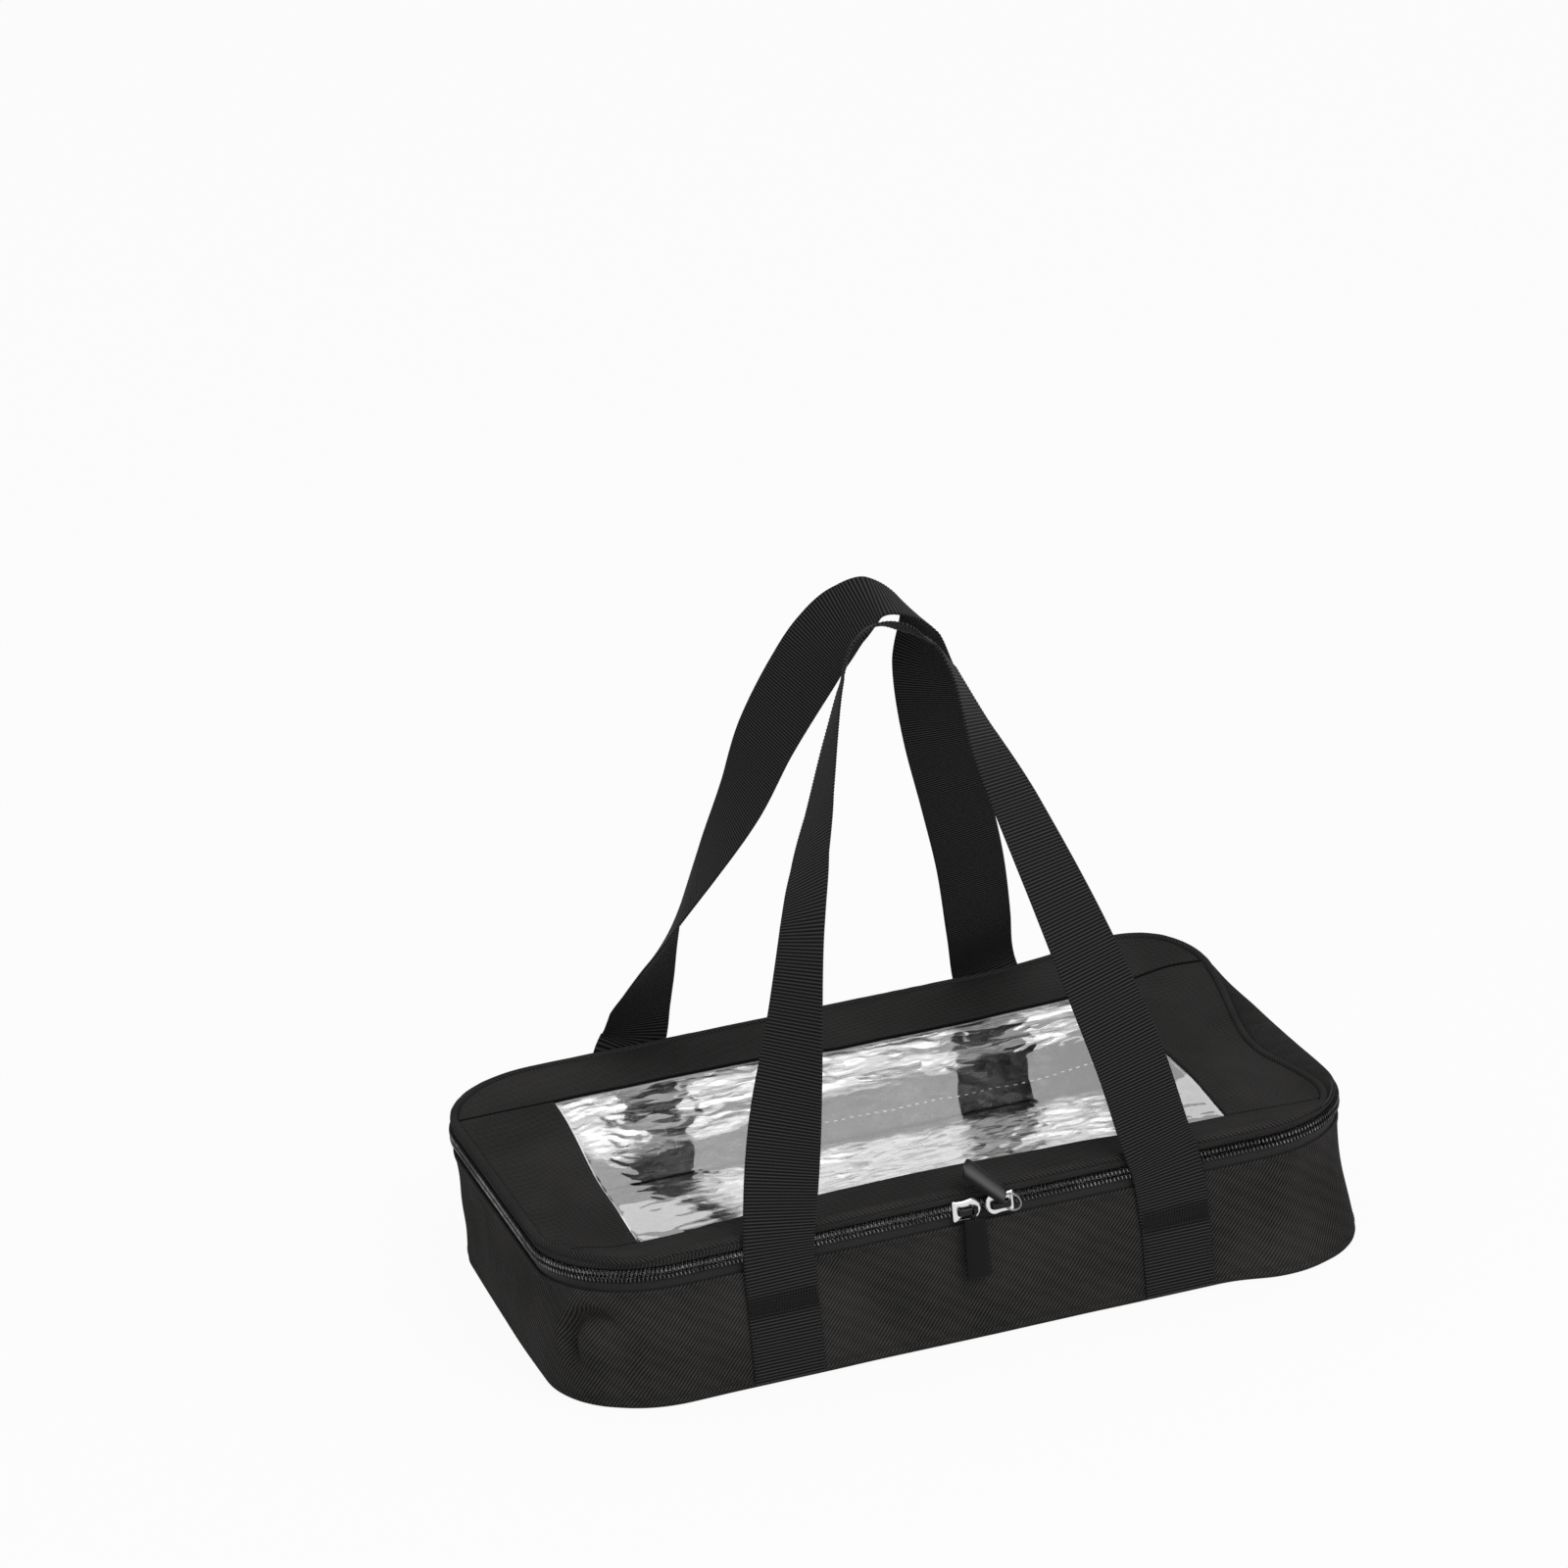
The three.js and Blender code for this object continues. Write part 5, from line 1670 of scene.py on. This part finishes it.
wall_seam("hem_stitches", HEM_SEAM, HEM_LIFT)
wall_seam("base_stitches", BASE_SEAM, BASE_LIFT)
for name, y, side in (("front", window_front, -1), ("back", window_back, 1)):
    row_x = half_width(y, ROW_END) * np.linspace(-1, 1, 200)
    lid_seam("window_" + name + "_stitches", row_x, y + side * SEAM_INSET + 0 * row_x)
for name, x, side in (("left", window_left, -1), ("right", window_right, 1)):
    row_y = np.linspace(window_front + 1, window_back - 1, 200)
    lid_seam("window_" + name + "_stitches", x + side * SEAM_INSET + 0 * row_y, row_y)
print("seams done")

# %% [markdown]
# The bars at the top of each sewn end are worked back and forth until the webbing hardly shows. They are
# duller than the webbing. Down each edge of the end runs a row of single stitches.

# %% Stitched bars and strap edges
BAR_LOW, BAR_HIGH, BAR_MARGIN, BAR_PITCH, BAR_THREAD = 39.4, 52.6, 0.8, 0.74, 0.42
BAR_LEAN, BAR_OVER, BAR_LIFT = 0.9, 0.6, 0.12
ROW_LOW, ROW_HIGH, ROW_PITCH, ROW_MARGIN, ROW_LENGTH, ROW_THREAD = 8.0, 36.5, 2.9, 2.4, 2.3, 0.26


def bar_tack(name, hand, side, nodes):
    """Slanted stitches, side by side, from the sewn end over the strap's foot."""
    foot = front_foot if side < 0 else back_foot
    xs = np.arange(BAR_MARGIN - web_width / 2, web_width / 2 - BAR_MARGIN, BAR_PITCH)
    lean = np.where(np.arange(len(xs)) % 2 == 0, BAR_LEAN, -BAR_LEAN)
    face = web_thickness / 2 + BAR_LIFT
    low = np.array([strap_x, wall_line + face, BAR_LOW])
    high = np.array([-np.interp(BAR_HIGH, foot[:, 2], foot[:, 0]),
                     side * np.interp(BAR_HIGH, foot[:, 2], foot[:, 1]) + face, BAR_HIGH])
    mirror = np.array([hand, side, 1])
    centres = (low + high) / 2 * mirror + np.stack([xs, 0 * xs, 0 * xs], -1)
    along = (high - low) * mirror + np.stack([lean, 0 * xs, 0 * xs], -1)
    bar = stitch_row(name, centres, along, repeated([0, side, 0], len(xs)), BAR_HIGH - BAR_LOW + BAR_OVER,
                     BAR_THREAD, None, nodes, bar_thread)
    bend_at_foot(bar, side)


def edge_rows(name, x, side):
    """Two rows of stitches down the edges of a sewn end."""
    z = np.tile(np.arange(ROW_LOW, ROW_HIGH, ROW_PITCH), 2)
    out = np.repeat([-1.0, 1.0], len(z) // 2)
    xs = x + out * (web_width / 2 - ROW_MARGIN)
    centres = np.stack([xs, 0 * z + side * (wall_line + web_thickness / 2 + OFF_WALL), z], -1)
    stitch_row(name, centres, repeated([0, 0, 1], len(z)), repeated([0, side, 0], len(z)), ROW_LENGTH,
               ROW_THREAD, "tray")


for end, hand, side in ENDS:
    bar_tack(end + "_bar_stitches", hand, side, (end + "_tack",))
    edge_rows(end + "_edge_stitches", hand * strap_x, side)
print("bars and edge rows:", len(ENDS))

# %% [markdown]
# ## Sliders
#
# Each slider is a die-cast body: an outer plate with a square tail and a round nose, an inner plate
# behind the coils, and a neck between the two rows. A dark bridge on the outer plate holds the pull.

# %% Slider plates
left_plate_low, left_plate_high = box_mm("left_slider_body")
plate_front, plate_inner = left_plate_low[1], left_plate_high[1]
slider_length = left_plate_high[0] - left_plate_low[0]
slider_height = left_plate_high[2] - left_plate_low[2]
INNER_HEIGHT, NECK, NECK_HEIGHT, NECK_SINK = 10.6, 4.0, 1.0, 0.6
NECK_SHARE, WAIST_SHARE, OUTLINE_POINTS = 0.3, 0.78, 72
# Each row of a plate's section: the share of its outline, and its place behind the plate's face.
CROWN_SHARES = [(0.0, -0.75), (0.35, -0.72), (0.62, -0.58), (0.82, -0.3), (0.93, -0.02), (0.985, 0.3),
                (1.0, 0.65), (0.97, 1.0), (0.9, 1.18), (0.5, 1.2), (0.0, 1.2)]
FLAT_SHARES = [(0.0, -1.2), (0.9, -1.2), (0.97, -1.05), (1.0, -0.7), (0.97, -0.2), (0.85, 0.0), (0.0, 0.0)]


def slider_outline(tall):
    """Square tail at -a, shallow waists, then half an ellipse to the nose at +a; points run round once and
    are averaged twice with their neighbours."""
    a, b = slider_length / 2, tall / 2
    neck, deep = NECK_SHARE * a, WAIST_SHARE * b
    t = np.linspace(0, 1, OUTLINE_POINTS // 4, endpoint=False)[:, None]
    tail, middle, end = np.array([[-a, -b], [-neck, -deep], [neck, -b]])
    waist = tail * (1 - t) ** 2 + middle * 2 * t * (1 - t) + end * t ** 2
    turn = np.linspace(-math.pi / 2, math.pi / 2, OUTLINE_POINTS // 2, endpoint=False)
    nose = np.stack([neck + (a - neck) * np.cos(turn), b * np.sin(turn)], -1)
    back = waist[::-1] * [1, -1]
    edge = np.stack([np.full(12, -a), np.linspace(b, -b, 12, endpoint=False)], -1)
    outline = np.concatenate([waist, nose, [[neck, b]], back[:-1], edge])
    for _ in range(2):
        outline = (np.roll(outline, 1, 0) + 2 * outline + np.roll(outline, -1, 0)) / 4
    return outline


def pressed_plate(tall, section, face):
    """Rings of the outline: each row of the section gives the outline's share and its depth along y."""
    outline = slider_outline(tall)
    return np.stack([np.stack([outline[:, 0] * share, 0 * outline[:, 0] + face + y, outline[:, 1] * share],
                              -1) for share, y in section])


print("slider", round(slider_length, 1), "x", round(slider_height, 1), "mm")

# %% [markdown]
# The plates and their neck are cast in one piece, so they are one mesh of three closed grids.

# %% Slider bodies


def join_parts(name, grids, material, body, nodes, around=(False, True)):
    """Several closed grids in one mesh."""
    points, faces, start = [], [], 0
    for grid in grids:
        made, _ = grid_faces(*grid.shape[:2], *around)
        if looks_wrong(grid.reshape(-1, 3), made, "closed"):
            made = made[:, ::-1]
        faces.append(made + start)
        points.append(grid.reshape(-1, 3))
        start += grid.shape[0] * grid.shape[1]
    piece = make_piece(name, np.concatenate(points), np.concatenate(faces), None, material, body,
                       nodes)
    return weld(piece)


def rounded_box(low, high, bevel):
    """A box with rounded edges as a grid: rings of a rounded rectangle that draw in at both ends."""
    low, high = np.array(low, float), np.array(high, float)
    middle, half = (low + high) / 2, (high - low) / 2
    turn = round_steps(24, 0.5)
    round_x, round_z = squared(np.cos(turn), 0.35), squared(np.sin(turn), 0.35)
    rows = [(0.0, -1.0), (0.5, -1.0), (1.0 - bevel / half[0], -1.0), (1.0, -1 + bevel / half[1]),
            (1.0, 1 - bevel / half[1]), (1.0 - bevel / half[0], 1.0), (0.5, 1.0), (0.0, 1.0)]
    return np.stack([np.stack([middle[0] + half[0] * share * round_x, middle[1] + half[1] * y + 0 * turn,
                               middle[2] + half[2] * share * round_z], -1) for share, y in rows])


def slider(hand, mirror):
    """Outer plate crowned towards the front, flat inner plate, and the neck that parts the coils."""
    low, high = box_mm(hand + "_slider_body")
    x = (low[0] + high[0]) / 2
    grids = [pressed_plate(slider_height, CROWN_SHARES, plate_front),
             pressed_plate(INNER_HEIGHT, FLAT_SHARES, plate_inner),
             rounded_box((-NECK / 2, plate_front + NECK_SINK, -NECK_HEIGHT / 2),
                         (NECK / 2, plate_inner - NECK_SINK, NECK_HEIGHT / 2), 0.2)]
    for grid in grids:
        grid[..., 0] = x + (-grid[..., 0] if mirror else grid[..., 0])
        grid[..., 2] += zip_z
    return join_parts(hand + "_slider_plates", grids, nickel, hand + "_slider",
                      (hand + "_slider_body",))


slider("left", False)
slider("right", True)
print("plates", round(plate_inner - plate_front, 1), "mm from front to back")

# %% [markdown]
# The bridge is a low arch with two legs. The pull's wire ring passes under it, and the moulded grip
# closes round the ring's far end.

# %% Bridges
crown_low, crown_high = box_mm("left_slider_crown")
crown_length = crown_high[0] - crown_low[0]
crown_width = crown_high[2] - crown_low[2]
BRIDGE_THICK, BRIDGE_SPREAD, BRIDGE_BEND, BRIDGE_HALF, LEG_INSET, LEG_SINK = 1.3, 1.2, 1.7, 0.6, 0.75, 0.1


def arch_section(path, width, thickness):
    """Carries a rounded rectangle along a path in the plane of x and y."""
    along = unit(np.gradient(path, axis=0))
    up = np.array([0.0, 0.0, 1.0])
    out = np.cross(along, up)
    turn = round_steps(16, 0.5)
    wide, thick = squared(np.cos(turn), 0.5) * width / 2, squared(np.sin(turn), 0.6) * thickness / 2
    return path[:, None] + up * wide[None, :, None] + out[:, None] * thick[None, :, None]


def bridge(hand):
    """A flat-topped arch: legs from the plate, shoulders as quarter circles, and a level bridge."""
    low, high = box_mm(hand + "_slider_crown")
    x, half = (low[0] + high[0]) / 2, crown_length / 2 - LEG_INSET
    top, foot = low[1] + BRIDGE_HALF, plate_front - LEG_SINK
    turn = np.linspace(0, math.pi / 2, 8)
    left = np.stack([x - half + BRIDGE_BEND * (1 - np.cos(turn)), top + BRIDGE_BEND * (1 - np.sin(turn))],
                    -1)
    right = np.stack([2 * x - left[::-1, 0], left[::-1, 1]], -1)
    level = np.stack([np.linspace(left[-1, 0], right[0, 0], 8)[1:-1], np.full(6, top)], -1)
    path = np.concatenate([[[x - half, foot]], left, level, right, [[x + half, foot]]])
    path = np.concatenate([path, np.full((len(path), 1), zip_z)], 1)
    arch = capped(arch_section(path, crown_width + BRIDGE_SPREAD, BRIDGE_THICK))
    return join_parts(hand + "_bridge", [arch], dark_metal, hand + "_slider",
                      (hand + "_slider_crown",))


bridge("left")
bridge("right")
bridge_y = crown_low[1] + BRIDGE_HALF
print("bridge line at", round(bridge_y, 2))

# %% [markdown]
# The left grip hangs down in front of the wall. The right one was flipped up: its ring stands turned and
# leaning, and the grip lies over the piping, rolled on its own axis. Both are tubes pressed flat that
# widen a little towards their far end.

# %% Pull rings and grips
RING_WIRE, RING_TOP = 0.56, 5.2
LEFT_RING = {"half_wide": 2.25, "hold": 2.25, "reach": 5.2, "turn": 0.0}
RIGHT_RING = {"half_wide": 4.3, "hold": 5.0, "reach": 5.7, "turn": 1.15, "lean": 0.45}
LEFT_PULL_PLACE, RIGHT_PULL_PLACE, RIGHT_RING_PLACE = [-3.0, 0, 0], [13.2, 0, 0], [18.0, 0, 0.4]
GRIP_WIDTH, GRIP_THICK, GRIP_BITE, GRIP_FLARE = 12.8, 3.7, 1.7, 0.08
LEFT_GRIP, RIGHT_GRIP = 34.5, 29.0
RIGHT_ROLL, RIGHT_LEAN, RIGHT_TIP = 0.9, 0.77, 1.9
# Where round each grip the polished ridge with its painted highlight runs.
LEFT_HIGHLIGHT_RIDGE, RIGHT_HIGHLIGHT_RIDGE = 1.5 * math.pi, 1.5 * math.pi - 0.25


def turn_about(points, axis, angle):
    return points @ np.array(Matrix.Rotation(angle, 3, axis)).T


def wire_ring(half_wide, hold, reach, turn, lean=0.0, count=48):
    """Two half ellipses, a short one below the bridge and a long one towards the grip, as a closed wire."""
    a = round_steps(count)
    rise = np.where(np.sin(a) > 0, reach, hold) * np.sin(a)
    flat = half_wide * np.cos(a)
    path = np.stack([flat * math.sin(turn), -flat * math.cos(turn), rise], -1)
    normal = np.array([math.cos(turn), math.sin(turn), 0.0])
    return turn_about(tube(path, RING_WIRE, 10, normal, closed=True), "Y", -lean)


def grip(length):
    """A flattened tube with rounded ends that widens a little: superellipses along its length."""
    t = np.linspace(-1, 1, 40)
    end = np.clip(1 - np.abs(t) ** 16, 0, 1) ** 0.45
    z = (t + 1) / 2 * length
    turn = round_steps(32)
    wide = GRIP_WIDTH / 2 * (1 + GRIP_FLARE * t)
    across, deep = squared(np.cos(turn), 0.72), squared(np.sin(turn), 0.9) * GRIP_THICK / 2
    body = np.stack([across[None] * (wide * end ** 0.5)[:, None],
                     deep[None] * end[:, None], z[:, None] + 0 * across[None]], -1)
    return capped(body) + [0, 0, RING_TOP - GRIP_BITE]


def lean_over(points):
    """Rolls the right grip on its own axis, leans it back over the piping and sideways to the left."""
    points = turn_about(points, "Z", RIGHT_ROLL) - [0, 0, RING_TOP]
    points = turn_about(points, "X", -math.asin(RIGHT_TIP / RIGHT_GRIP))
    return turn_about(points, "Y", -RIGHT_LEAN) + [0, 0, RING_TOP]


def pull(hand, ring, bar, metal, ridge):
    """A wire ring and a rubber grip; ridge is where round the grip its polished ridge, with a painted
    highlight, runs.
    """
    join_parts(hand + "_wire_ring", [ring], metal, hand + "_pull", (hand + "_pull_ring",),
               around=(True, True))
    around = np.arange(bar.shape[1] + 1) * TURN / bar.shape[1] - ridge
    uv = paired(around[None] * GRIP_ROUND, run_length(bar, 0)[:, None])
    weld(cloth_piece(hand + "_grip_bar", bar, rubber, hand + "_pull", "grip_rubber",
                     (hand + "_pull_grip",), uv=uv, **TUBE))


bridge_middle = np.array([0, bridge_y, zip_z])
left_ring, left_bar = (turn_about(part, "X", math.pi) + bridge_middle + LEFT_PULL_PLACE
                       for part in (wire_ring(**LEFT_RING), grip(LEFT_GRIP)))
pull("left", left_ring, left_bar, dark_metal, LEFT_HIGHLIGHT_RIDGE)
right_ring = wire_ring(**RIGHT_RING) + bridge_middle + RIGHT_RING_PLACE
right_bar = lean_over(grip(RIGHT_GRIP)) + bridge_middle + RIGHT_PULL_PLACE
pull("right", right_ring, right_bar, wire_metal, RIGHT_HIGHLIGHT_RIDGE)
print("pulls done")

# %% [markdown]
# A moulded stop closes each end of the zip. It lies over the end of the lower row, where the cloth hinge
# begins, and is part of the plan's own ring, so it follows the corners.

# %% Zip stops
STOP_LOW, STOP_HIGH, STOP_BEVEL, STOP_SHIFT = (-2.1, -1.6, 71.4), (2.1, 1.2, 74.8), 0.8, 1.8


def zip_stop(hand, s):
    """A rounded block in the plan's own numbers: distance along it, inset and height."""
    block = rounded_box(STOP_LOW, STOP_HIGH, STOP_BEVEL)
    grid = around_plan(block[..., 0] + s, block[..., 2], block[..., 1], 0.0)
    weld(cloth_piece(hand + "_stop_block", grid, nylon, "tray", "zip_coil", (hand + "_zip_stop",),
                     around=(False, True), outside="round"))


zip_stop("left", zip_start - STOP_SHIFT)
zip_stop("right", PERIMETER - zip_start + STOP_SHIFT)
print("zip stops done")

# %% [markdown]
# ## Finish
#
# The boxes of the packed frame and of the dressed model are printed side by side, so that the two can
# be compared.

# %% Sizes and finish
visual_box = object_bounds()
for title, box in (("frame", cad_box), ("dressed", visual_box)):
    print(title, [[round(c / MM, 1) for c in corner] for corner in box])
